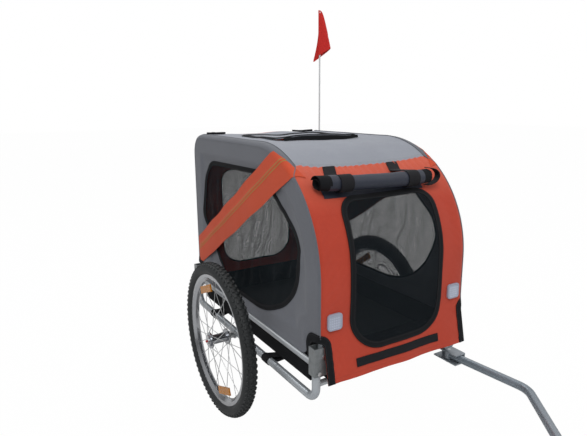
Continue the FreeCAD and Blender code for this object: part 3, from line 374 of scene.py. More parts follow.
def clothFinish(
    name, color, pitch=0.0012, amount=0.14, size=7.0, rough=0.8, sheen=0.12, gloss=0.25, deep=None,
    rows=(), thread=None, rowWidth=0.001, stitched=True, paintedTopLight=None,
):
    # woven cloth; rows are lines at places along the map's second axis, sewn or printed
    # the last argument is a paler colour and the heights between which the cloth turns to it: painted light
    # on the upper part, which faces the light
    made, where = blank(name)
    base = (*color, 1)
    if rows:
        along, across, _ = split(where["UV"])
        lines = 0.0
        for row in rows:
            near = calc("ABSOLUTE", calc("SUBTRACT", across, row))
            lines = calc("MAXIMUM", lines, calc("LESS_THAN", near, rowWidth / 2))
        if stitched:
            dash = calc("FRACT", calc("DIVIDE", along, 0.0042))
            lines = calc("MULTIPLY", lines, calc("LESS_THAN", dash, 0.68))
        base = mixed(lines, base, (*thread, 1))
    # painted light: paler higher up, where the cloth faces up
    if paintedTopLight:
        paler, low, high = paintedTopLight
        height = split(where["Object"])["Z"]
        share = addNode(made.node_tree, "MapRange", {"Value": height, "From Min": low, "From Max": high})
        base = mixed(share.outputs["Result"], base, (*paler, 1))
    threads = useGroup(weave, Vector=where["UV"], Pitch=pitch)
    return finish(made, (threads["Height"], 0.35, deep or pitch * 0.3), {
        "Base Color": mottled(where, base, amount, size)["Color"],
        "Roughness": rough,
        "Sheen Weight": sheen,
        "Specular IOR Level": gloss,
    })


def netFinish(name, color, pitch, gap):
    # holes close up where the net is seen at a slant
    made, where = blank(name)
    net = useGroup(netHoles, Vector=where["UV"], Pitch=pitch, Open=gap)
    slant = addNode(made.node_tree, "LayerWeight", {"Blend": 0.5}).outputs["Facing"]
    dense = calc("MULTIPLY", calc("POWER", slant, 2.0), 0.8)
    return finish(made, (net["Height"], 0.4, 0.0004), {
        "Base Color": mottled(where, (*color, 1), 0.08, 9.0)["Color"],
        "Alpha": calc("MAXIMUM", net["Thread"], dense),
        "Roughness": 0.8,
        "Specular IOR Level": 0.08,
    })


def metalFinish(name, color, rough, metallic, wear, worn, coat=0.0):
    made, where = blank(name)
    shade = mottled(where, (*color, 1), 0.1, 22.0)
    rub = useGroup(edgeWear, Vector=where["Object"], Amount=wear)
    return finish(made, (shade["Mask"], 0.06, 0.0004), {
        "Base Color": mixed(rub["Worn"], shade["Color"], (*worn, 1)),
        "Roughness": calc("MULTIPLY_ADD", shade["Mask"], 0.16, rough - 0.08),
        "Metallic": metallic,
        "Coat Weight": coat,
    })


def mouldedFinish(name, color, rough, grain, size=60.0):
    made, where = blank(name)
    shade = mottled(where, (*color, 1), 0.18, size)
    return finish(made, (shade["Mask"], grain, 0.0006), {
        "Base Color": shade["Color"],
        "Roughness": calc("MULTIPLY_ADD", shade["Mask"], 0.2, rough - 0.1),
    })


def lensFinish(name, color, pitch, paintedGlow):
    # a moulded reflector: small prisms behind a clear face that send light back; its lit and shaded facets
    # and its glow are painted light
    made, where = blank(name)
    prisms = {"Vector": where["Object"], "Scale": 1 / pitch, "Randomness": 0.0}
    cells = addNode(made.node_tree, "TexVoronoi", prisms, distance="MANHATTAN").outputs["Distance"]
    # painted highlight and painted shade on the prism facets
    bright, dark = ((*[min(1, gain * c) for c in color], 1) for gain in (1.35, 0.45))
    paintedFacetLight = mixed(calc("MULTIPLY", cells, 1.3), bright, dark)
    return finish(made, (cells, 0.7, 0.0012), {
        "Base Color": mottled(where, paintedFacetLight, 0.25, 40.0)["Color"],
        # painted light: the lens glows as if it sent light back
        "Emission Color": (*color, 1),
        "Emission Strength": paintedGlow,
        "Specular IOR Level": 0.35,
        "Roughness": 0.16,
        "Coat Weight": 0.15,
    })


def paint(names, material):
    # puts a finish on CAD pieces; a star stands for right and left
    for name in names.split():
        for side, hand in hands if "*" in name else hands[:1]:
            node = nodes[name.replace("*", side)]
            node.data.materials.clear()
            node.data.materials.append(material)
            smooth(node, 30)


black, darkCloth = (0.007, 0.0075, 0.009), {"amount": 0.3, "sheen": 0.0}
greyCloth = clothFinish("greyCloth", (0.122, 0.129, 0.148))
blackCloth = clothFinish("blackCloth", black, gloss=0.12, **darkCloth)
boundCloth = clothFinish(
    "boundCloth", black, gloss=0.14, rows=(0.003,), thread=(0.03, 0.03, 0.033), **darkCloth
)
navyCloth = clothFinish("navyCloth", (0.017, 0.021, 0.036), rough=0.5, gloss=0.4, **darkCloth)
webbing = clothFinish("blackWebbing", (0.009, 0.009, 0.011), pitch=0.0024, gloss=0.2, **darkCloth)
blackNet = netFinish("blackNet", (0.008, 0.0115, 0.0145), 0.0016, 0.40)
stripedBand = clothFinish(
    "stripedBand", (0.53, 0.07, 0.026), 0.0014, 0.16, 8.0, rough=0.78, sheen=0.05, deep=0.0004,
    rows=(0.050, 0.061), thread=(0.29, 0.2, 0.05), rowWidth=0.0035, stitched=False,
)
redCloth = clothFinish("flagCloth", (0.52, 0.02, 0.016), sheen=0.1)
tyreRubber = mouldedFinish("tyreRubber", (0.0065, 0.0085, 0.0095), 0.66, 0.3, 90.0)
# the last value is a painted glow
clearLens = lensFinish("clearLens", (0.52, 0.57, 0.7), 0.0066, 0.16)
lensRim = mouldedFinish("lensRim", (0.3, 0.32, 0.4), 0.35, 0.05)

paint(
    "*_lower_rail *_floor_rail cross_tubes *_hoop *_axle_sleeve",
    metalFinish("steelPaint", (0.38, 0.41, 0.44), 0.36, 0.5, 0.4, (0.4, 0.4, 0.4), 0.15),
)
paint(
    "front_*_bracket rear_*_bracket",
    metalFinish("bracketSteel", (0.12, 0.135, 0.14), 0.4, 0.6, 0.5, (0.3, 0.31, 0.32), 0.1),
)
paint(
    "bracket_bolts tow_pivot_bolt *_axle *_bearings *_spokes hitch_pin",
    metalFinish("platedSteel", (0.46, 0.47, 0.48), 0.3, 1.0, 0.4, (0.7, 0.7, 0.7)),
)
paint(
    "*_rim *_hub hitch_coupler",
    metalFinish("brightAlloy", (0.33, 0.34, 0.36), 0.2, 1.0, 0.3, (0.7, 0.7, 0.7)),
)
paint(
    "tow_arm tow_bracket",
    metalFinish("towPaint", (0.2, 0.235, 0.27), 0.38, 0.4, 0.5, (0.4, 0.42, 0.45), 0.2),
)
# the amber lens's last value is a painted glow
paint("*_spoke_reflectors", lensFinish("amberLens", (0.55, 0.2, 0.004), 0.004, 0.12))
paint("*_release_button", mouldedFinish("buttonPlastic", (0.32, 0.01, 0.01), 0.32, 0.05))
paint("hitch_flex", mouldedFinish("flexRubber", (0.016, 0.016, 0.016), 0.6, 0.2))
paint("flag_pole", mouldedFinish("poleRod", (0.6, 0.61, 0.62), 0.34, 0.08, 120.0))
paint("flag_socket", mouldedFinish("blackPlastic", (0.014, 0.014, 0.016), 0.42, 0.1))
paint("floor_board", mouldedFinish("floorBoard", (0.012, 0.012, 0.012), 0.7, 0.25, 30.0))
print("finishes made")


def walked(line):
    # distance along a line at each of its places
    return np.concatenate([[0], np.cumsum(np.linalg.norm(np.diff(line, axis=0), axis=1))])


def placeAt(at, run, line):
    return np.stack([np.interp(at, run, column) for column in line.T], 1)


def inFrame(x, y, z):
    return np.stack([x, y + axleY, z], 1)


def sideways(line, closed=True):
    # unit normals to the left of a flat line
    ahead, behind = np.roll(line, -1, 0), np.roll(line, 1, 0)
    if not closed:
        ahead[-1], behind[0] = line[-1], line[0]
    heading = ahead - behind
    heading /= np.linalg.norm(heading, axis=1)[:, None]
    return np.stack([-heading[:, 1], heading[:, 0]], 1)


def softened(line, weight):
    return np.stack([np.convolve(column, weight / weight.sum(), "same") for column in line.T], 1)


def roundedOutline(corners, radii, step=0.006):
    # a flat outline with tangent arcs at its corners
    made = []
    spots = [Vector(c) for c in corners]
    for n, (corner, radius) in enumerate(zip(spots, radii)):
        if not radius:
            made.append(corner)
            continue
        arrive = (corner - spots[n - 1]).normalized()
        leave = (spots[(n + 1) % len(spots)] - corner).normalized()
        half = arrive.angle(leave) / 2
        middle = corner + (leave - arrive).normalized() * (radius / math.cos(half))
        start = corner - arrive * radius * math.tan(half) - middle
        turn = 2 * half * (1 if arrive.cross(leave) > 0 else -1)
        parts = max(4, int(radius * 2 * half / step))
        for k in range(parts + 1):
            c, s = math.cos(turn * k / parts), math.sin(turn * k / parts)
            made.append(middle + Vector((start.x * c - start.y * s, start.x * s + start.y * c)))
    return np.array([tuple(p) for p in made])


def resampled(line, step, closed=True):
    loop = np.vstack([line, line[:1]]) if closed else line
    run = walked(loop)
    at = np.linspace(0, run[-1], max(2, int(round(run[-1] / step))) + 1)
    return placeAt(at[:-1] if closed else at, run, loop)


def outlineDistance(outline, spots):
    # signed distance to a closed outline, positive inside, and the nearest place on it
    a, b = outline, np.roll(outline, -1, 0)
    run = b - a
    t = ((spots[:, None] - a) * run).sum(2) / np.maximum((run**2).sum(1), 1e-15)
    near = a + np.clip(t, 0, 1)[..., None] * run
    gaps = np.linalg.norm(spots[:, None] - near, axis=2)
    best = gaps.argmin(1)
    rows = np.arange(len(spots))
    y = spots[:, None, 1]
    crosses = (a[:, 1] > y) != (b[:, 1] > y)
    rise = np.where(np.abs(run[:, 1]) < 1e-12, 1e-12, run[:, 1])
    hit = spots[:, None, 0] < a[:, 0] + (y - a[:, 1]) / rise * run[:, 0]
    inside = (crosses & hit).sum(1) % 2 == 1
    return np.where(inside, 1, -1) * gaps[rows, best], near[rows, best]


def flatCloth(name, low, high, cell):
    # a flat grid between two corners
    span = np.subtract(high, low)
    columns, rows = (max(1, round(side / cell)) for side in span)
    piece = added(
        bpy.ops.mesh.primitive_grid_add, name, x_subdivisions=columns, y_subdivisions=rows, size=2
    )
    where = points(piece)
    where[:, :2] = np.asarray(low) + (where[:, :2] + 1) / 2 * span
    setPoints(piece, where)
    return piece


def trim(piece, outline, keepInside, cell):
    # cuts the cloth along an outline and pulls the cut edge onto it
    mesh = piece.data
    gaps, _ = outlineDistance(outline, gathered(mesh.polygons, "center", 3)[:, :2])
    edit(piece, bpy.ops.mesh.delete, "FACE", gaps < 0 if keepInside else gaps > 0, type="FACE")
    uses = np.bincount(gathered(mesh.loops, "edge_index", kind=int), minlength=len(mesh.edges))
    rim = np.zeros(len(mesh.vertices), bool)
    rim[gathered(mesh.edges, "vertices", 2, int)[uses == 1]] = True
    where = points(piece)
    gaps, near = outlineDistance(outline, where[:, :2])
    move = rim & (np.abs(gaps) < cell * 1.2)
    where[move, :2] = near[move]
    setPoints(piece, where)


def setMap(piece, flat):
    corner = gathered(piece.data.loops, "vertex_index", kind=int)
    piece.data.uv_layers[0].data.foreach_set("uv", flat[corner].astype(np.float32).ravel())


def mapCloth(piece, spot):
    # lays flat cloth on a surface: spot turns flat places into places in the frame
    flat = points(piece)[:, :2]
    setMap(piece, flat)
    setPoints(piece, spot(flat[:, 0], flat[:, 1]))


def ribbon(name, line, width, spot, closed=True, columns=4, crown=0.0006, step=0.007):
    # a strip of tape along a line drawn on a surface, a little crowned across
    centre = resampled(line, step, closed)
    side = sideways(centre, closed)
    count = len(centre)
    piece = flatCloth(name, (0, 0), (count if closed else count - 1, columns), 1)
    where = points(piece)
    row = np.rint(where[:, 0]).astype(int) % count
    across = where[:, 1] / columns - 0.5
    flat = centre[row] + side[row] * (across * width)[:, None]
    setMap(piece, np.stack([where[:, 0] * step, (0.5 - np.abs(across)) * width], 1))
    setPoints(piece, spot(flat[:, 0], flat[:, 1], crown * (1 - (2 * across) ** 2)))
    if closed:
        weld(piece, 1e-5)
    return piece


def profileCloth(name, line, along, cell, spot):
    # cloth bent along a line and straight across it, with its flat size
    line = np.asarray(line, float)
    run = walked(line)
    piece = flatCloth(name, (0, along[0]), (run[-1], along[1]), cell)
    mapCloth(piece, lambda a, b: spot(placeAt(a, run, line), b))
    return piece, (run[-1], along[1] - along[0])


coverSet = {
    "front": 0.4743,
    "rear": 0.3483,
    "arc": 0.3303,
    "corner": 0.0703,
    "roof": 0.885,
    "knee": 0.430,
    "hem": 0.303,
    "flare": 0.026,
    "shoulderFlat": 0.2395,
    "shoulder": 0.0122,
    "seamAngle": 58,
    "step": 0.002,
    "soften": 27,
}
arcY, arcZ = coverSet["arc"] - coverSet["front"], coverSet["roof"] - coverSet["arc"]


def makeRun():
    # front hem, over the roof, to rear hem: places and outward normals, softened at the knees
    c = coverSet
    cornerY, cornerZ = c["rear"] - c["corner"], c["roof"] - c["corner"]
    line = [(-c["front"] - c["flare"], c["hem"]), (-c["front"], c["knee"]), (-c["front"], arcZ)]
    for a in np.radians(np.arange(1, 91)):
        line.append((arcY - c["arc"] * math.cos(a), arcZ + c["arc"] * math.sin(a)))
    for a in np.radians(np.arange(0, 91, 3)):
        line.append((cornerY + c["corner"] * math.sin(a), cornerZ + c["corner"] * math.cos(a)))
    line += [(c["rear"], c["knee"]), (c["rear"] + c["flare"], c["hem"])]
    line = resampled(np.array(line), c["step"], closed=False)
    spare = c["soften"] // 2 + 3  # places added at both ends, so that the ends stay where they are
    before = line[0] + (line[0] - line[1]) * np.arange(spare, 0, -1)[:, None]
    after = line[-1] + (line[-1] - line[-2]) * np.arange(1, spare + 1)[:, None]
    soft = softened(np.vstack([before, line, after]), np.hanning(c["soften"]))[spare:-spare]
    return walked(soft), soft, sideways(soft, closed=False)


runLength, runSpot, runOut = makeRun()
runEnd = float(runLength[-1])
frontHalf = runSpot[:, 0] < 0
belowRoof = runSpot[:, 1] < coverSet["roof"] - 1e-5


def runAtZ(z):
    # distance along the run of a height on the front
    part = frontHalf & belowRoof
    return float(np.interp(z, runSpot[part, 1], runLength[part]))


def runAtRearZ(z):
    part = ~frontHalf & belowRoof
    return float(np.interp(z, runSpot[part, 1][::-1], runLength[part][::-1]))


def runAtRoofY(y):
    part = runSpot[:, 1] > coverSet["roof"] - 0.06
    return float(np.interp(y, runSpot[part, 0], runLength[part]))


seamRun = runAtZ(arcZ + coverSet["arc"] * math.sin(math.radians(coverSet["seamAngle"])))
rearSeamRun = runAtRoofY(coverSet["rear"] - coverSet["corner"])


def ripple(a, length, phase=0.0):
    return np.sin(a * fullTurn / length + phase)


def waves(a, b, seed, longest=0.30, shortest=0.05, lean=0.0):
    # smooth unevenness, from -1 to 1
    dice = np.random.default_rng(seed)
    total = np.zeros_like(a)
    weight = 0
    for _ in range(9):
        length = math.exp(dice.uniform(math.log(shortest), math.log(longest)))
        angle = lean + dice.normal(0, 0.55)
        phase = dice.uniform(0, fullTurn)
        share = length / longest
        total += share * ripple(a * math.cos(angle) + b * math.sin(angle), length, phase)
        weight += share
    return total / weight * 1.6


def fade(value, width):
    return 1 - np.exp(-np.maximum(value, 0) / width)


def hump(value, width):
    return np.exp(-((value / width) ** 2))


def eased(share):
    return share * share * (3 - 2 * share)


def ramp(value, width):
    return np.clip(value / width, 0, 1)


# how the top cloth hangs between the hoops; pairs are a height and a length
slackSet = {
    "roofSag": 0.007,
    "roofFrom": 0.16,
    "roofTo": (0.02, 0.1),
    "seamSag": (0.011, 0.09),
    "pleat": (0.0022, 0.021),
    "gather": (0.05, 0.006),
    "loose": 0.0028,
    "hem": (0.003, 0.17),
    "hemReach": 0.09,
    "pucker": (0.0015, 0.03),
    "puckerReach": 0.03,
}


def overRun(u, s, lift=0.0):
    # the top cloth: u across, s along the run; it turns down over the hoops and goes on along the sides
    g = slackSet
    u, s = np.asarray(u, float), np.asarray(s, float)
    flat, radius = coverSet["shoulderFlat"], coverSet["shoulder"]
    over = np.maximum(np.abs(u) - flat, 0) / radius
    turned = np.minimum(over, math.pi / 2)
    x = np.sign(u) * (np.minimum(np.abs(u), flat) + (radius + lift) * np.sin(turned))
    inset = radius * (1 - np.cos(turned) + over - turned)
    middle = np.clip(1 - (u / flat) ** 2, 0, 1)
    past, fall = g["roofTo"]
    roofness = eased(ramp(s - seamRun + g["roofFrom"], g["roofFrom"]) * ramp(rearSeamRun + past - s, fall))
    high, long = g["seamSag"]
    sag = middle * (g["roofSag"] * roofness + high * hump(s - seamRun, long))
    below = seamRun - s
    down, up = g["gather"]
    gather = np.exp(np.where(below > 0, -below / down, below / up))
    high, long = g["pleat"]
    pleats = high * gather * ripple(u, long, 2.2 * waves(u, s, 3, longest=0.2)) * ramp(middle, 1 / 6)
    loose = g["loose"] * waves(u, s, 5, lean=0.3) * ramp(middle, 1 / 4)
    hemness = np.exp(-s / g["hemReach"]) + np.exp(-(runEnd - s) / g["hemReach"])
    high, long = g["hem"]
    hemWave = high * hemness * ripple(u, long, 0.6)
    inward = np.maximum(flat - np.abs(u), 0)
    seamward = np.exp(-inward / g["puckerReach"]) * ramp(middle, 1 / 8) * (1 - roofness)
    high, long = g["pucker"]
    pucker = high * seamward * ripple(s + np.abs(u), long, 2.5 * waves(u, s, 7, longest=0.2))
    height = lift * np.cos(turned) - inset - sag + pleats + loose + hemWave + pucker
    place = placeAt(s, runLength, runSpot) + placeAt(s, runLength, runOut) * height[:, None]
    return inFrame(x, place[:, 0], place[:, 1])


def lifted(spot, amount):
    return lambda a, b, lift=0.0: spot(a, b, amount + lift)


sideSet = {
    "reach": 0.2517,
    "base": 0.358,
    "bottom": 0.3555,
    "cornerCut": 0.052,
    "cornerTop": 0.4195,
    "cornerCutRound": 0.026,
    "hollow": 0.009,
    "hollowFrom": (0.012, 0.035),
    "hoopReach": 0.050,
    "sink": 0.012,
    "crease": 0.0036,
    "draw": (0.0022, 0.085),
    "drawZ": (0.40, 0.05),
    "wrap": (0.0045, 0.004),
    "window": (
        (0.88, 0.84), (0.364, 0.85), (0.109, 0.535), (0.151, 0.213),
        (0.346, 0.066), (0.686, 0.066), (0.923, 0.44),
    ),
    "windowRound": (0.10, 0.085, 0.1, 0.2, 0.28, 0.085, 0.07),
    "windowLap": 0.006,
    "bindingWidth": 0.015,
    "bindingLift": 0.0006,
    "netFold": (0.0042, 0.062),
    "netDrop": 0.0018,
    "netSeeds": {-1: 13, 1: 14},
}


def fromShare(along, up):
    y = -coverSet["front"] + along * (coverSet["front"] + coverSet["rear"])
    return y, sideSet["base"] + up * (coverSet["roof"] - sideSet["base"])


def sideOutline():
    # along the shoulder, with both lower corners cut out for the brackets
    cut, low, top = sideSet["cornerCut"], sideSet["bottom"], sideSet["cornerTop"]
    edge = (runSpot - runOut * coverSet["shoulder"])[runSpot[:, 1] > top]
    front, rear = edge[0, 0], edge[-1, 0]
    tight = sideSet["cornerCutRound"]
    rearCut, frontCut = rear - cut, front + cut
    foot = roundedOutline(
        [(rear, top), (rearCut, top), (rearCut, low), (frontCut, low), (frontCut, top), (front, top)],
        [0, tight, tight / 2, tight / 2, tight, 0],
    )
    return np.vstack([edge[::3], foot])


def shrunk(outline, by):
    # a smooth closed outline moved inward
    side = sideways(outline)
    inward = 1 if outlineDistance(outline, outline[:1] + side[:1] * by)[0][0] > 0 else -1
    return outline + inward * by * side


sideEdge = sideOutline()
windowShape = roundedOutline([fromShare(*c) for c in sideSet["window"]], sideSet["windowRound"])
windowEdge = shrunk(resampled(windowShape, 0.006), sideSet["windowLap"])


def onSide(hand):
    g = sideSet

    def spot(y, z, lift=0.0):
        deep = np.maximum(outlineDistance(sideEdge, np.stack([y, z], 1))[0], 0)
        start, ease = g["hollowFrom"]
        hollow = g["hollow"] * fade(deep - start, ease)
        creases = g["crease"] * waves(y, z, 11, lean=0.9, shortest=0.035) * fade(deep, 0.03)
        high, long = g["draw"]
        drawZ, tall = g["drawZ"]
        draw = high * hump(z - drawZ, tall) * ripple(y, long) * fade(deep, 0.01)
        high, tall = g["wrap"]
        wrap = high * np.exp(-(z - g["bottom"]) / tall) * (z < g["cornerTop"] - 0.01)
        # the cloth lies on the hoop and sinks only past it
        sink = g["sink"] * fade(deep - g["hoopReach"], 0.03)
        x = g["reach"] + np.maximum(creases + draw - hollow, -sink) + wrap + lift
        return inFrame(hand * x, y, z)

    return spot


def flattens(piece):
    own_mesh(piece)


def sewn(piece, wall, material, body, slot, replaces=(), angle=40, folds=True):
    # shaped cloth gets its wall, which is a thickness and an offset, its finish and its body
    if wall:
        modified(piece, "SOLIDIFY", thickness=wall[0], offset=wall[1])
    smooth(piece, angle)
    dress(piece, material, body, replaces)
    if folds:
        flattens(piece)


panelSet = {
    "cell": 0.007,
    "wall": (0.0014, -1),
    "seam": 0.229,
    "cornerSeam": 0.2495,
    "foot": 0.2415,
    "ease": 0.045,
    "half": coverSet["shoulderFlat"] + coverSet["shoulder"] * math.pi / 2,
    "shoulderCell": 0.0045,
    "shoulderLift": 0.0007,
}
archRun, rearArchRun = runAtZ(sideSet["cornerTop"]), runAtRearZ(sideSet["cornerTop"])


def seamReach(s):
    # the seams follow the hoops at front and rear and come in over the roof
    ease, wide = panelSet["ease"], panelSet["cornerSeam"]
    share = eased(ramp(s - seamRun + ease, ease) * ramp(rearSeamRun + ease - s, ease))
    return wide + (panelSet["seam"] - wide) * share


def lay(
    name, outline, spot, wall, looks, node, hole=None, around=None, flipped=False
):
    # cloth cut flat to an outline, laid on a surface and sewn; looks are its finish, body and a slot name,
    # which is not used
    cell = panelSet["cell"]
    grid = outline if around is None else around
    piece = flatCloth(name, grid.min(0), grid.max(0), cell)
    trim(piece, outline, True, cell)
    if hole is not None:
        trim(piece, hole, False, cell)
    mapCloth(piece, spot)
    if flipped:
        flip(piece)
    sewn(piece, wall, *looks, [node])


def boxOutline(wide, low, high, foot, top):
    return roundedOutline([(-wide, low), (wide, low), (wide, high), (-wide, high)], [foot, foot, top, top])


doorSet = {
    "half": 0.150,
    "bottom": 0.372,
    "top": 0.748,
    "round": 0.045,
    "footRound": 0.085,
    "lap": 0.012,
    "binding": 0.017,
    "netLift": 0.0016,
    "bindingLift": 0.0021,
    "crown": 0.0009,
    "wall": (0.0012, 0),
}


def doorOutline(grow, runAt):
    d = doorSet
    low, high = runAt(d["bottom"] - grow), runAt(d["top"] + grow)
    return boxOutline(d["half"] + grow, low, high, d["footRound"] + grow, d["round"] + grow)


skySet = {
    "half": 0.135,
    "front": -0.095,
    "rear": 0.175,
    "round": 0.030,
    "lap": 0.014,
    "bindingIn": 0.008,
    "lift": 0.0022,
    "curl": (0.015, 0.06),
    "wall": (0.0016, -1),
    "binding": 0.017,
    "crown": 0.002,
    "bindingWall": (0.0022, 0.4),
}


def skyOutline(grow):
    g = skySet
    low, high = runAtRoofY(g["front"]) - grow, runAtRoofY(g["rear"]) + grow
    return boxOutline(g["half"] + grow, low, high, *[g["round"] + grow / 2] * 2)


def skirtOutline(hem, arch, seam):
    # from the hem past the corner arches up to the shoulder seams
    foot, wide = panelSet["foot"], panelSet["cornerSeam"]
    right = [(foot, hem), (foot, arch), (wide, arch), (wide, seam)]
    left = [(-across, along) for across, along in reversed(right)]
    return np.array(left[-1:] + right + left[:-1])


def makePanel(part, outline, hole, material, slot):
    lay(
        f"{part}Panel", outline, overRun, panelSet["wall"], (material, "cover", slot), f"{part}_panel",
        hole=hole,
    )


# the header above 0.72 m is painted paler: painted light on its upward face
orangeCloth = clothFinish(
    "orangeCloth", (0.43, 0.046, 0.022), amount=0.18, rows=(seamRun - 0.007, 0.012, runEnd - 0.012),
    thread=(0.3, 0.035, 0.02), paintedTopLight=((0.57, 0.105, 0.058), 0.72, 0.84),
)
roofCloth = clothFinish(
    "roofCloth", (0.27, 0.285, 0.325), rows=(seamRun + 0.006, seamRun + 0.011), thread=(0.17, 0.18, 0.2)
)
frontSkirt, rearSkirt = skirtOutline(0, archRun, seamRun), skirtOutline(runEnd, rearArchRun, rearSeamRun)
makePanel("front", frontSkirt, doorOutline(0, runAtZ), orangeCloth, "orange_cloth")
makePanel("rear", rearSkirt, doorOutline(0, runAtRearZ), orangeCloth, "orange_cloth")
slim = panelSet["seam"]
roofShape = np.array([(-slim, seamRun), (slim, seamRun), (slim, rearSeamRun), (-slim, rearSeamRun)])
makePanel("roof", roofShape, skyOutline(0), roofCloth, "roof_cloth")


def overHoop(u, s):
    # the side cloth goes on over the hoop to the seam
    seam, half = panelSet["seam"], panelSet["half"]
    inner = seamReach(s)
    reach = inner + (half - inner) * ((np.abs(u) - seam) / (half - seam))
    return overRun(np.sign(u) * reach, s, panelSet["shoulderLift"])


for side, hand in hands:
    low, high = sorted((hand * panelSet["seam"], hand * panelSet["half"]))
    shoulder = flatCloth(f"{side}Shoulder", (low, archRun), (high, rearArchRun), panelSet["shoulderCell"])
    mapCloth(shoulder, overHoop)
    sewn(shoulder, panelSet["wall"], greyCloth, "cover", "grey_cloth")
print("front, roof and rear panels laid")


def makeDoor(end, runAt):
    d = doorSet
    outer, middle = doorOutline(d["lap"], runAt), doorOutline(d["lap"] - d["binding"] / 2, runAt)
    onPanel, body = lifted(overRun, d["netLift"]), f"{end}_door"
    looks = (blackNet, body, "black_mesh")
    lay(f"{end}DoorNet", middle, onPanel, None, looks, f"{body}_mesh", around=outer)
    onNet = lifted(overRun, d["bindingLift"])
    tape = ribbon(f"{end}DoorBinding", middle, d["binding"], onNet, crown=d["crown"])
    sewn(tape, d["wall"], boundCloth, body, "black_cloth", [f"{body}_binding"])


makeDoor("front", runAtZ)
makeDoor("rear", runAtRearZ)

flapOutline = skyOutline(skySet["lap"])
flapFront = flapOutline[:, 1].min()


def onFlap(u, s, lift=0.0):
    # the flap lies on the roof and lifts a little along its front edge
    high, long = skySet["curl"]
    curl = high * np.exp(-((s - flapFront) / long)) * (1 - 0.7 * (u / 0.16) ** 2)
    return overRun(u, s, skySet["lift"] + curl + lift)


flapLooks = (roofCloth, "skylight_flap", "roof_cloth")
lay("roofFlap", flapOutline, onFlap, skySet["wall"], flapLooks, "roof_flap")
flapEdge = skyOutline(skySet["lap"] - skySet["bindingIn"])
flapTape = ribbon("flapBinding", flapEdge, skySet["binding"], onFlap, crown=skySet["crown"])
sewn(flapTape, skySet["bindingWall"], boundCloth, "skylight_flap", "black_cloth")

# painted shade: a strip of black cloth in the gap under the flap's lifted front edge
gapShadeSet = {"half": 0.138, "tall": 0.013, "cell": 0.004, "lift": 0.0016, "wall": (0.0014, 0)}
flapGapShade = flatCloth("flapGapShade", (-gapShadeSet["half"], 0), (gapShadeSet["half"], gapShadeSet["tall"]), gapShadeSet["cell"])


def underFlap(u, drop):
    # a black strip that hangs from the front edge down to the roof: painted shade that fills the gap under
    # the lifted flap
    front = np.full_like(u, flapFront + 0.001)
    top, foot = onFlap(u, front), overRun(u, front - 0.003, gapShadeSet["lift"])
    return top + (foot - top) * (drop / gapShadeSet["tall"])[:, None]


mapCloth(flapGapShade, underFlap)
sewn(flapGapShade, gapShadeSet["wall"], boundCloth, "skylight_flap", "black_cloth")

strapSet = {
    "width": 0.014,
    "lift": 0.0040,
    "wall": (0.0055, 0),
    "spans": ((-0.232, -0.165), (0.115, 0.205)),
    "back": 0.016,
    "bend": 0.006,
}
straps = []
for n, (start, stop) in enumerate(strapSet["spans"]):
    across = np.linspace(start, stop, 24)
    along = rearSeamRun - strapSet["back"] + strapSet["bend"] * np.sin(across * 70 + n)
    onRoof = lifted(overRun, strapSet["lift"])
    straps.append(ribbon(f"roofStrap{n}", np.stack([across, along], 1), strapSet["width"], onRoof, False))
roofStraps = joined("roofStraps", straps)
sewn(roofStraps, strapSet["wall"], webbing, "cover", "black_cloth")
print("doors and skylight made")

tapeSet = {"wall": (0.0014, 0)}


def makeSide(side, hand):
    g = sideSet
    spot = onSide(hand)
    lay(
        f"{side}SidePanel", sideEdge, spot, panelSet["wall"], (greyCloth, "cover", "grey_cloth"),
        f"{side}_side_panel", hole=windowEdge, flipped=hand < 0,
    )

    def slackNet(y, z):
        gaps, _ = outlineDistance(windowEdge, np.stack([y, z], 1))
        high, long = g["netFold"]
        along = (y + 0.25 * z) / long + 0.5 * waves(y, z, g["netSeeds"][hand], longest=0.3)
        folds = high * (ripple(along, 1) - 1) * fade(gaps - 0.01, 0.03)
        return spot(y, z, folds - g["netDrop"])

    netLooks = (blackNet, "cover", "black_mesh")
    lay(f"{side}WindowNet", windowEdge, slackNet, None, netLooks, f"{side}_window_mesh", flipped=hand < 0)
    tape = ribbon(f"{side}WindowBinding", windowEdge, g["bindingWidth"], lifted(spot, g["bindingLift"]))
    sewn(tape, tapeSet["wall"], boundCloth, "cover", "black_cloth")


for side, hand in hands:
    makeSide(side, hand)
print("sides made")

bandSet = {
    "ends": ((0.2797, 0.9660), (0.999, 0.266), (0.999, 0.058), (0.118, 0.890)),
    "cell": 0.007,
    "lift": 0.0024,
    "wave": 0.0016,
    "seeds": {-1: 21, 1: 22},
    "edge": (0.0035, 0.19),
    "edgeHeading": (0.5, 0.8),
    "pleat": (0.0014, 0.62, 0.05),
    "tuck": (0.010, 0.012),
    "spare": 1.02,
    "wall": (0.0012, 0),
}


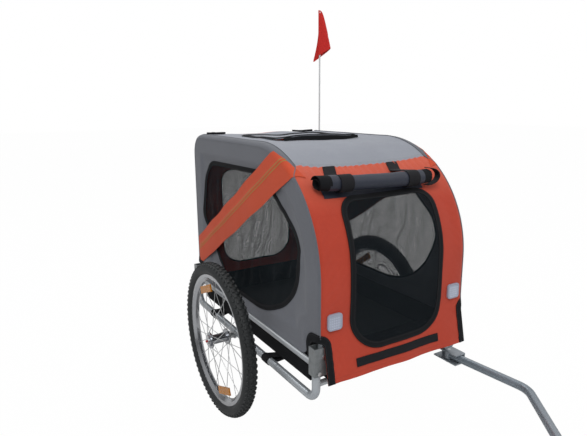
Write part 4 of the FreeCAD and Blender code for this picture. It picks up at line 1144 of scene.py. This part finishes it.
def makeBand(side, hand):
    # a loose strap of cloth from the front seam down to the rear edge
    g = bandSet
    corners = [np.array(fromShare(*c)) for c in g["ends"]]
    long = np.linalg.norm((corners[1] + corners[2] - corners[0] - corners[3]) / 2)
    wide = np.linalg.norm(corners[0] - corners[3])
    band = flatCloth(f"{side}Band", (0, 0), (long, wide), g["cell"])
    rim = runSpot - runOut * coverSet["shoulder"]

    def spot(a, b):
        t, w = a / long, 1 - b / wide
        upper = corners[0] + (corners[1] - corners[0]) * t[:, None]
        lower = corners[3] + (corners[2] - corners[3]) * t[:, None]
        held = np.sin(math.pi * t)
        high, length = g["edge"]
        edge = high * ripple(a, length, 0.8) * (w - 0.5) * held
        place = lower + (upper - lower) * w[:, None] + np.array(g["edgeHeading"]) * edge[:, None]
        slack = g["wave"] * waves(a, b, g["seeds"][hand], longest=0.25, shortest=0.06)
        high, middle, length = g["pleat"]
        off = g["lift"] * (1 - 0.65 * np.exp(-t * long / 0.04)) + slack * np.sqrt(np.clip(held, 0, 1))
        off = off + high * hump(w - middle, length)
        high, length = g["tuck"]
        off = off - high * np.exp(-(((1 - t) * long) / length))
        # past the side's edge it goes on over the hoop
        gaps, near = outlineDistance(sideEdge, place)
        station = runLength[np.linalg.norm(near[:, None] - rim, axis=2).argmin(1)]
        turned = overRun(hand * (panelSet["half"] + gaps), station, off)
        flat = inFrame(hand * (sideSet["reach"] + off), place[:, 0], place[:, 1])
        return np.where((gaps < 0)[:, None], turned, flat)

    mapCloth(band, spot)
    if hand > 0:
        flip(band)
    sewn(band, g["wall"], stripedBand, "cover", "orange_cloth", [f"{side}_band"])


for side, hand in hands:
    makeBand(side, hand)

rollSet = {
    "angle": 42.2,
    "off": 0.0234,
    "middle": -0.031,
    "half": 0.184,
    "sag": 0.006,
    "tilt": 0.028,
    "boundEnd": 0.030,
    "core": 0.0075,
    "turns": 3.3,
    "start": 0.9,
    "outer": 0.0212,
    "cell": 0.0055,
    "puff": 0.0013,
    "squeeze": (0.0012, 0.018),
    "slide": 0.006,
    "wall": (0.0011, 0),
    "ties": (0.084, -0.138),
    "lean": 0.018,
    "header": (0.002, 0.055),
    "headerLift": 0.0022,
    "tieGap": 0.0012,
    "tieWidth": 0.040,
    "tieTurn": (1.30, 5.60),
    "tieCell": 0.004,
    "tieWall": (0.0016, 0),
    "crown": 0.0004,
    "loop": (0.148, 0.040, 0.024),
    "loopWidth": 0.020,
}


def rollCentre(x):
    # where the roll's middle runs: it hangs a little between its ends
    r = rollSet
    angle = math.radians(r["angle"])
    reach = coverSet["arc"] + r["off"]
    along = x - r["middle"]
    low = r["sag"] * np.clip(1 - (along / r["half"]) ** 2, 0, 1) + r["tilt"] * along
    y, z = arcY - reach * math.cos(angle), arcZ + reach * math.sin(angle)
    return y - low * math.sin(angle), z - low * math.cos(angle)


def makeRoll():
    r = rollSet
    turns = np.linspace(0, fullTurn * r["turns"], 150)
    reaches = r["core"] + (r["outer"] - r["core"]) * turns / turns[-1]
    steps = np.hypot(np.diff(reaches), np.diff(turns) * (reaches[1:] + reaches[:-1]) / 2)
    walk = np.concatenate([[0], np.cumsum(steps)])
    ends = (r["middle"] - r["half"], r["middle"] + r["half"])
    roll = flatCloth("rolledCover", (0, ends[0]), (walk[-1], ends[1]), r["cell"])

    def spot(a, x):
        turn, reach = np.interp(a, walk, turns), np.interp(a, walk, reaches)
        puff = r["puff"] * waves(x, turn * 0.02, 31, longest=0.22, shortest=0.05)
        high, wide = r["squeeze"]
        squeeze = high * sum(hump(x - tie, wide) for tie in r["ties"])
        reach = reach + (puff - squeeze) * reach / r["outer"]
        y, z = rollCentre(x)
        slide = r["slide"] * np.sin(turn * 0.5 + 0.7) * (np.abs(x - r["middle"]) / r["half"]) ** 8
        face = turn + r["start"]
        return inFrame(x + slide, y - reach * np.cos(face), z + reach * np.sin(face))

    mapCloth(roll, spot)
    sewn(roll, r["wall"], navyCloth, "cover", "black_cloth", ["rolled_cover"], 60, folds=False)
    roll.data.materials.append(blackCloth)
    for polygon in roll.data.polygons:
        polygon.material_index = int(abs(polygon.center.x - r["middle"]) > r["half"] - r["boundEnd"])
    flattens(roll)


def makeTie(n, middle):
    # a strap that comes out of the seam and runs down the header and round the roll
    r = rollSet
    y, z = rollCentre(middle)
    start, stop = r["header"]
    down = np.linspace(seamRun - start, seamRun - stop, 12)
    header = overRun(np.full(12, middle + r["lean"]), down, r["headerLift"])[:9, 1:] - np.array([axleY, 0])
    reach = r["outer"] + r["tieGap"]
    angles = np.linspace(*r["tieTurn"], 40)
    loop = np.stack([y + reach * np.cos(angles), z + reach * np.sin(angles)], 1)
    line = resampled(np.vstack([header, loop]), r["tieCell"], closed=False)
    line[1:-1] = softened(line, np.array([1, 2, 1]))[1:-1]
    slant = r["lean"] * np.clip(1 - np.arange(len(line)) / 12, 0, 1)

    def spot(place, x):
        lift = r["crown"] * np.cos((x - middle) / r["tieWidth"] * math.pi)
        return inFrame(x + place[:, 2], place[:, 0], place[:, 1] + lift)

    ends = (middle - r["tieWidth"] / 2, middle + r["tieWidth"] / 2)
    return profileCloth(f"tie{n}", np.hstack([line, slant[:, None]]), ends, r["tieCell"], spot)


def makeEye():
    # a slack end of webbing makes an eye beyond the roll's left end
    r = rollSet
    start, wide, tall = r["loop"]
    turn = np.linspace(-math.pi / 2, math.pi / 2, 30)
    eye = np.stack([start + wide * np.cos(turn), tall * np.sin(turn)], 1)
    y, z = rollCentre(start)

    def spot(place, along):
        return inFrame(place[:, 0], y + along - 0.1 * (place[:, 0] - start), z + place[:, 1])

    half = r["loopWidth"] / 2
    line = resampled(eye, r["tieCell"], closed=False)
    return profileCloth("eye", line, (-half, half), r["tieCell"], spot)


makeRoll()
tieParts = [makeTie(n, middle) for n, middle in enumerate(rollSet["ties"])] + [makeEye()]
rollTies = joined("rollTies", [piece for piece, size in tieParts])
sewn(rollTies, rollSet["tieWall"], webbing, "cover", "black_cloth", ["roll_ties"])
print("bands, roll and ties made")

stripSet = {
    "hook": {"across": (-0.150, 0.140), "heights": (0.327, 0.349), "lift": 0.0012},
    "base": {"across": (-0.195, 0.14), "height": 0.770, "width": 0.036, "lift": 0.0013},
}


def makeStrip(name, strip, along, width, material):
    line = np.array([(end, along) for end in strip["across"]])
    tape = ribbon(name, line, width, lifted(overRun, strip["lift"]), False)
    sewn(tape, tapeSet["wall"], material, "cover", "black_cloth")


hookLow, hookHigh = (runAtZ(z) for z in stripSet["hook"]["heights"])
makeStrip("hookStrip", stripSet["hook"], (hookLow + hookHigh) / 2, hookHigh - hookLow, webbing)
rollBase = runAtZ(stripSet["base"]["height"])
makeStrip("rollBase", stripSet["base"], rollBase, stripSet["base"]["width"], navyCloth)

archSet = {"inner": 0.2315, "round": 0.0235, "width": 0.021, "lift": 0.0014, "lap": 0.004}


def makeArch(hand, hem, runAt):
    # broad tape up the front edge, over the corner and down the side opening
    g = archSet
    side = panelSet["half"] + sideSet["cornerCut"] - g["lap"]
    top, low = runAt(sideSet["cornerTop"]), runAt(sideSet["bottom"] + g["lap"])
    line = roundedOutline(
        [(g["inner"], hem), (g["inner"], top), (side, top), (side, low)],
        [0, g["round"], sideSet["cornerCutRound"], 0],
    )
    line[:, 0] *= hand
    return ribbon("arch", line, g["width"], lifted(overRun, g["lift"]), False)


liningSet = {
    "reach": 0.2265,
    "low": 0.307,
    "high": 0.412,
    "cell": 0.006,
    "frontTub": -0.4245,
    "rearTub": 0.2985,
    "inset": 0.0015,
    "wave": 0.0015,
}


def makeLining(hand, edge, wall, outward):
    # black cloth between the tub's end and the panel, seen through the corner arch
    g = liningSet
    lining = flatCloth("lining", (0, g["low"]), (1, g["high"]), g["cell"])

    def spot(share, z):
        start = np.interp(z, edge[:, 1], edge[:, 0]) - outward * g["inset"]
        x = hand * (g["reach"] + g["wave"] * np.sin(share * 5 + z * 60))
        return inFrame(x, start + (wall - start) * share, z)

    mapCloth(lining, spot)
    return lining


edgeTapes = []
for side, hand in hands:
    edgeTapes += [makeArch(hand, 0.0, runAtZ), makeArch(hand, runEnd, runAtRearZ)]
lowHalf = runSpot[:, 1] < 0.5
frontLine, rearLine = runSpot[frontHalf & lowHalf], runSpot[~frontHalf & lowHalf][::-1]
for side, hand in hands:
    edgeTapes.append(makeLining(hand, frontLine, liningSet["frontTub"], -1))
    edgeTapes.append(makeLining(hand, rearLine, liningSet["rearTub"], 1))
edgeBinding = joined("edgeBinding", edgeTapes)
sewn(edgeBinding, tapeSet["wall"], boundCloth, "cover", "black_cloth")

pipeSet = {"count": 260, "lift": 0.0009, "radius": 0.0016, "rounds": 2}


def makePipe(hand):
    along = np.linspace(archRun, rearArchRun, pipeSet["count"])
    centre = overRun(hand * seamReach(along), along, pipeSet["lift"])
    pipe = added(bpy.ops.curve.primitive_bezier_curve_add)
    pipe.data.splines.clear()
    spline = pipe.data.splines.new("POLY")
    spline.points.add(len(centre) - 1)
    spline.points.foreach_set("co", np.hstack([centre, np.ones((len(centre), 1))]).ravel())
    pipe.data.dimensions = "3D"
    pipe.data.bevel_depth = pipeSet["radius"]
    pipe.data.bevel_resolution = pipeSet["rounds"]
    choose(pipe)
    bpy.ops.object.convert(target="MESH")
    return bpy.context.object


piping = joined("seamPiping", [makePipe(hand) for side, hand in hands])
sewn(piping, None, greyCloth, "cover", "grey_cloth", angle=60)
print("bindings and piping made")

reflectorSet = {
    "spot": (0.209, 0.458),
    "size": 0.044,
    "deep": 0.007,
    "sunk": 0.0012,
    "round": {"offset": 0.009, "segments": 5},
    "edges": {"width": 0.0014, "segments": 2, "limit_method": "ANGLE", "angle_limit": math.radians(50)},
    "insets": ({"thickness": 0.0030}, {"thickness": 0.0010, "depth": -0.0012}),
    "faceArea": 0.0008,
}


def makeReflector(hand):
    g = reflectorSet
    across, up = g["spot"]
    x, y, z = overRun([hand * across], [runAtZ(up)])[0]
    lens = added(bpy.ops.mesh.primitive_cube_add, size=1)
    lens.scale = (g["size"], g["deep"], g["size"])
    settle(lens)
    ends = points(lens)[gathered(lens.data.edges, "vertices", 2, int)]
    deepEdges = np.abs(ends[:, 0, 1] - ends[:, 1, 1]) > g["deep"] / 2
    edit(lens, bpy.ops.mesh.bevel, "EDGE", deepEdges, **g["round"])
    modified(lens, "BEVEL", **g["edges"])
    face = [p.normal.y < -0.99 and p.area > g["faceArea"] for p in lens.data.polygons]
    for inset in g["insets"]:
        edit(lens, bpy.ops.mesh.inset, "FACE", face, **inset)
        face = [p.select for p in lens.data.polygons]
    lens.data.materials.append(lensRim)
    lens.data.materials.append(clearLens)
    lens.data.polygons.foreach_set("material_index", np.array(face, np.int32))
    lens.location = (x, y - g["deep"] / 2 + g["sunk"], z)
    settle(lens)
    smooth(lens)
    return lens


reflectors = joined("frontReflectors", [makeReflector(hand) for side, hand in hands])
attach(reflectors, "cover")
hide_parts("front_reflectors")
flattens(reflectors)

flagSet = {
    "top": 1.3445,
    "hoist": 0.172,
    "fly": 0.140,
    "cells": 34,
    "tip": 0.55,
    "fold": 0.36,
    "near": (0.049, 0.142),
    "tail": (-0.021, 0.198),
    "gap": 0.0062,
    "tuck": 0.010,
    "sleeve": 0.0062,
    "bulge": 0.0165,
    "wave": 0.0016,
    "pole": (0.2753, 0.318),
    "heading": (0.856, -0.51),
    "wall": (0.0006, 0),
}


def makeFlag():
    # a limp pennant, creased once from its top, with the tail behind the pole
    g = flagSet
    flag = flatCloth("pennant", (0, 0), (1, 1), 1 / g["cells"])
    creaseAcross, creaseDown = g["fold"], 1 + (g["tip"] - 1) * g["fold"]
    near, tail, hoist = np.array(g["near"]), np.array(g["tail"]), np.array([0, g["hoist"]])

    def spot(f, h):
        # f along the fly, h down the hoist; then right of the pole and down from its top
        reach = f * np.minimum(h / g["tip"], (1 - h) / (1 - g["tip"]))
        past = reach * creaseDown - h * creaseAcross
        front = reach / creaseAcross
        behind = (h - g["tip"] * reach) / (creaseDown - g["tip"] * creaseAcross)
        atFront = front[:, None] * near + (h - front * creaseDown)[:, None] * hoist
        atBack = behind[:, None] * near + (reach - behind * creaseAcross)[:, None] * tail
        right, drop = np.where((past > 0)[:, None], atBack, atFront).T
        back = ramp(past, 0.16)
        right = right + g["tuck"] * back * np.sin(ramp(drop, tail[1]) * math.pi) - g["sleeve"]
        share = np.clip(reach * creaseDown / np.maximum(h * creaseAcross, 1e-6), 0, 1)
        out = (1 - np.exp(-(drop + 0.006) / 0.012)) * np.clip(1 - drop / 0.18, 0, 1)
        right = right + g["bulge"] * out * share * (1 - back)
        deep = g["gap"] * (2 * eased(np.clip(past / 0.12 + 0.5, 0, 1)) - 1)
        deep = deep + g["wave"] * np.sin(h * 9 + reach * 8) * np.minimum(reach / 0.2, 1)
        (poleX, poleY), (c, s) = g["pole"], g["heading"]
        return inFrame(poleX + right * c - deep * s, poleY + right * s + deep * c, g["top"] - drop)

    mapCloth(flag, spot)
    weld(flag, 2e-4)
    modified(flag, "SUBSURF", levels=1)
    sewn(flag, g["wall"], redCloth, "flag", "red_cloth", ["flag"], 60, folds=False)


makeFlag()
print("reflectors and flag made")

tubSet = {
    "round": 0.008,
    "wall": (0.0014, -1),
    "cuts": 14,
    "slack": 0.0045,
    "bottomSlack": 0.002,
    "slackFrom": (0.012, 0.02),
    "tuck": 0.011,
}


def makeTub():
    # a deep tray of cloth between the floor rails, its edge tucked up behind the side panels
    t = tubSet
    low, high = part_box("floor_tub")
    high = high + Vector((0, 0, t["tuck"]))
    tub = added(bpy.ops.mesh.primitive_cube_add, "floorTub", size=1, location=(low + high) / 2)
    tub.scale = high - low
    settle(tub)
    top = [polygon.normal.z > 0.9 for polygon in tub.data.polygons]
    edit(tub, bpy.ops.mesh.delete, "FACE", top, type="FACE")
    modified(tub, "BEVEL", width=t["round"], segments=3)
    edit(tub, bpy.ops.mesh.subdivide, number_cuts=t["cuts"])
    edit(tub, bpy.ops.uv.cube_project, cube_size=1.0)
    where = points(tub)

    def slack(a, b, seed, **more):
        return 0.5 + 0.5 * np.clip(waves(where[:, a], where[:, b], seed, **more), -1, 1)

    start, tall = t["slackFrom"]
    up = ramp(where[:, 2] - low.z - start, tall)
    middle = (np.array(low) + np.array(high)) / 2
    for k, other in ((0, 1), (1, 0)):
        off = where[:, k] - middle[k]
        wall = np.abs(off) > (high[k] - low[k]) / 2 - 1e-4
        where[:, k] -= np.sign(off) * t["slack"] * up * slack(other, 2, 41 + k, longest=0.25) * wall
    floor = where[:, 2] < low.z + 1e-4
    where[:, 2] -= floor * t["bottomSlack"] * slack(0, 1, 43)
    setPoints(tub, where)
    sewn(tub, t["wall"], blackCloth, "frame", "black_cloth", ["floor_tub"], folds=False)


loopSet = {
    "places": (-0.205, 0.190),
    "width": 0.034,
    "cell": 0.004,
    "rail": (0.256, 0.250),
    "reach": 0.0124,
    "turn": (232, 484),
    "under": (0.222, 0.2765),
    "over": (0.238, 0.2765),
    "skew": 0.055,
    "crown": 0.0004,
    "wall": (0.0018, 0),
}


def makeLoop(name, hand, place, line):
    g = loopSet
    half = g["width"] / 2

    def spot(where, along):
        x = where[:, 0] + g["crown"] * np.cos(along / g["width"] * math.pi)
        return inFrame(hand * x, place + along + where[:, 2], where[:, 1])

    loop, size = profileCloth(name, line, (-half, half), g["cell"], spot)
    if hand > 0:
        flip(loop)
    return loop, size[0]


def makeLoops():
    # webbing from under the tub, round the lower rail and back
    g = loopSet
    (railX, railZ), (underX, underZ) = g["rail"], g["under"]
    turn = np.radians(np.linspace(*g["turn"], 40))
    ring = np.stack([railX + g["reach"] * np.cos(turn), railZ + g["reach"] * np.sin(turn), np.zeros(40)], 1)
    start = [(underX, underZ, -g["skew"]), (underX + 0.008, underZ - 0.006, -0.8 * g["skew"])]
    line = resampled(np.vstack([start, ring, [(*g["over"], -0.7 * g["skew"])]]), g["cell"], closed=False)
    made = [makeLoop(f"{side}Loop", hand, place, line) for side, hand in hands for place in g["places"]]
    loops = joined("tubStraps", [loop for loop, long in made])
    sewn(loops, g["wall"], webbing, "frame", "black_cloth", ["tub_straps"], folds=False)


makeTub()
makeLoops()
print("tub and straps made")

tyreSet = {
    "ring": 0.2262,
    "bag": 0.0205,
    "segments": (132, 28),
    "bead": 0.25,
    "rows": (-43, -14, 14, 43),
    "count": 80,
    "knob": (0.0080, 0.0105, 0.0064),
    "taper": (0.9, 1.08),
    "stand": 0.0032,
    "edge": 0.0011,
}


def rotated(a, b, angle):
    c, s = math.cos(angle), math.sin(angle)
    return a * c - b * s, a * s + b * c


def makeTread(row, lean):
    # one bevelled knob, copied round the tyre
    t = tyreSet
    knob = added(bpy.ops.mesh.primitive_cube_add, size=1)
    knob.scale = t["knob"]
    settle(knob)
    modified(knob, "BEVEL", width=t["edge"], segments=1)
    where = points(knob)
    where[:, :2] *= np.where(where[:, 2:] > 0, *t["taper"])
    where[:, 2] += t["bag"] + t["stand"] - t["knob"][2] / 2
    step = fullTurn / t["count"]
    z, x = rotated(where[:, 2], where[:, 0], math.radians(lean))
    y, z = rotated(where[:, 1], z + t["ring"], step / 2 * (row % 2))
    setPoints(knob, np.stack([x, y, z], 1))
    turner = added(bpy.ops.object.empty_add, rotation=(step, 0, 0))
    modified(
        knob, "ARRAY", count=t["count"], use_relative_offset=False,
        use_object_offset=True, offset_object=turner,
    )
    choose(turner)
    bpy.ops.object.delete()
    return knob


def makeTyres():
    t = tyreSet
    low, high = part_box("right_tyre")
    hubX = (low.x + high.x) / 2
    around, across = t["segments"]
    bag = added(
        bpy.ops.mesh.primitive_torus_add, major_radius=t["ring"], minor_radius=t["bag"],
        major_segments=around, minor_segments=across, rotation=(0, math.pi / 2, 0),
    )
    settle(bag)
    where = points(bag)
    below = ramp(t["ring"] - np.hypot(where[:, 1], where[:, 2]), t["bag"])
    where[:, 0] *= 1 - t["bead"] * below**2
    setPoints(bag, where)
    right = joined("rightTyre", [bag] + [makeTread(row, lean) for row, lean in enumerate(t["rows"])])
    smooth(right, 35)
    choose(right)
    bpy.ops.object.duplicate(linked=False)
    left = bpy.context.object
    left.name = "leftTyre"
    for (side, hand), tyre in zip(hands, (right, left)):
        setPoints(tyre, points(tyre) + np.array([-hand * hubX, axleY, axleZ]))
        dress(tyre, tyreRubber, f"{side}_wheel", [f"{side}_tyre"])


makeTyres()
print("tyres made")
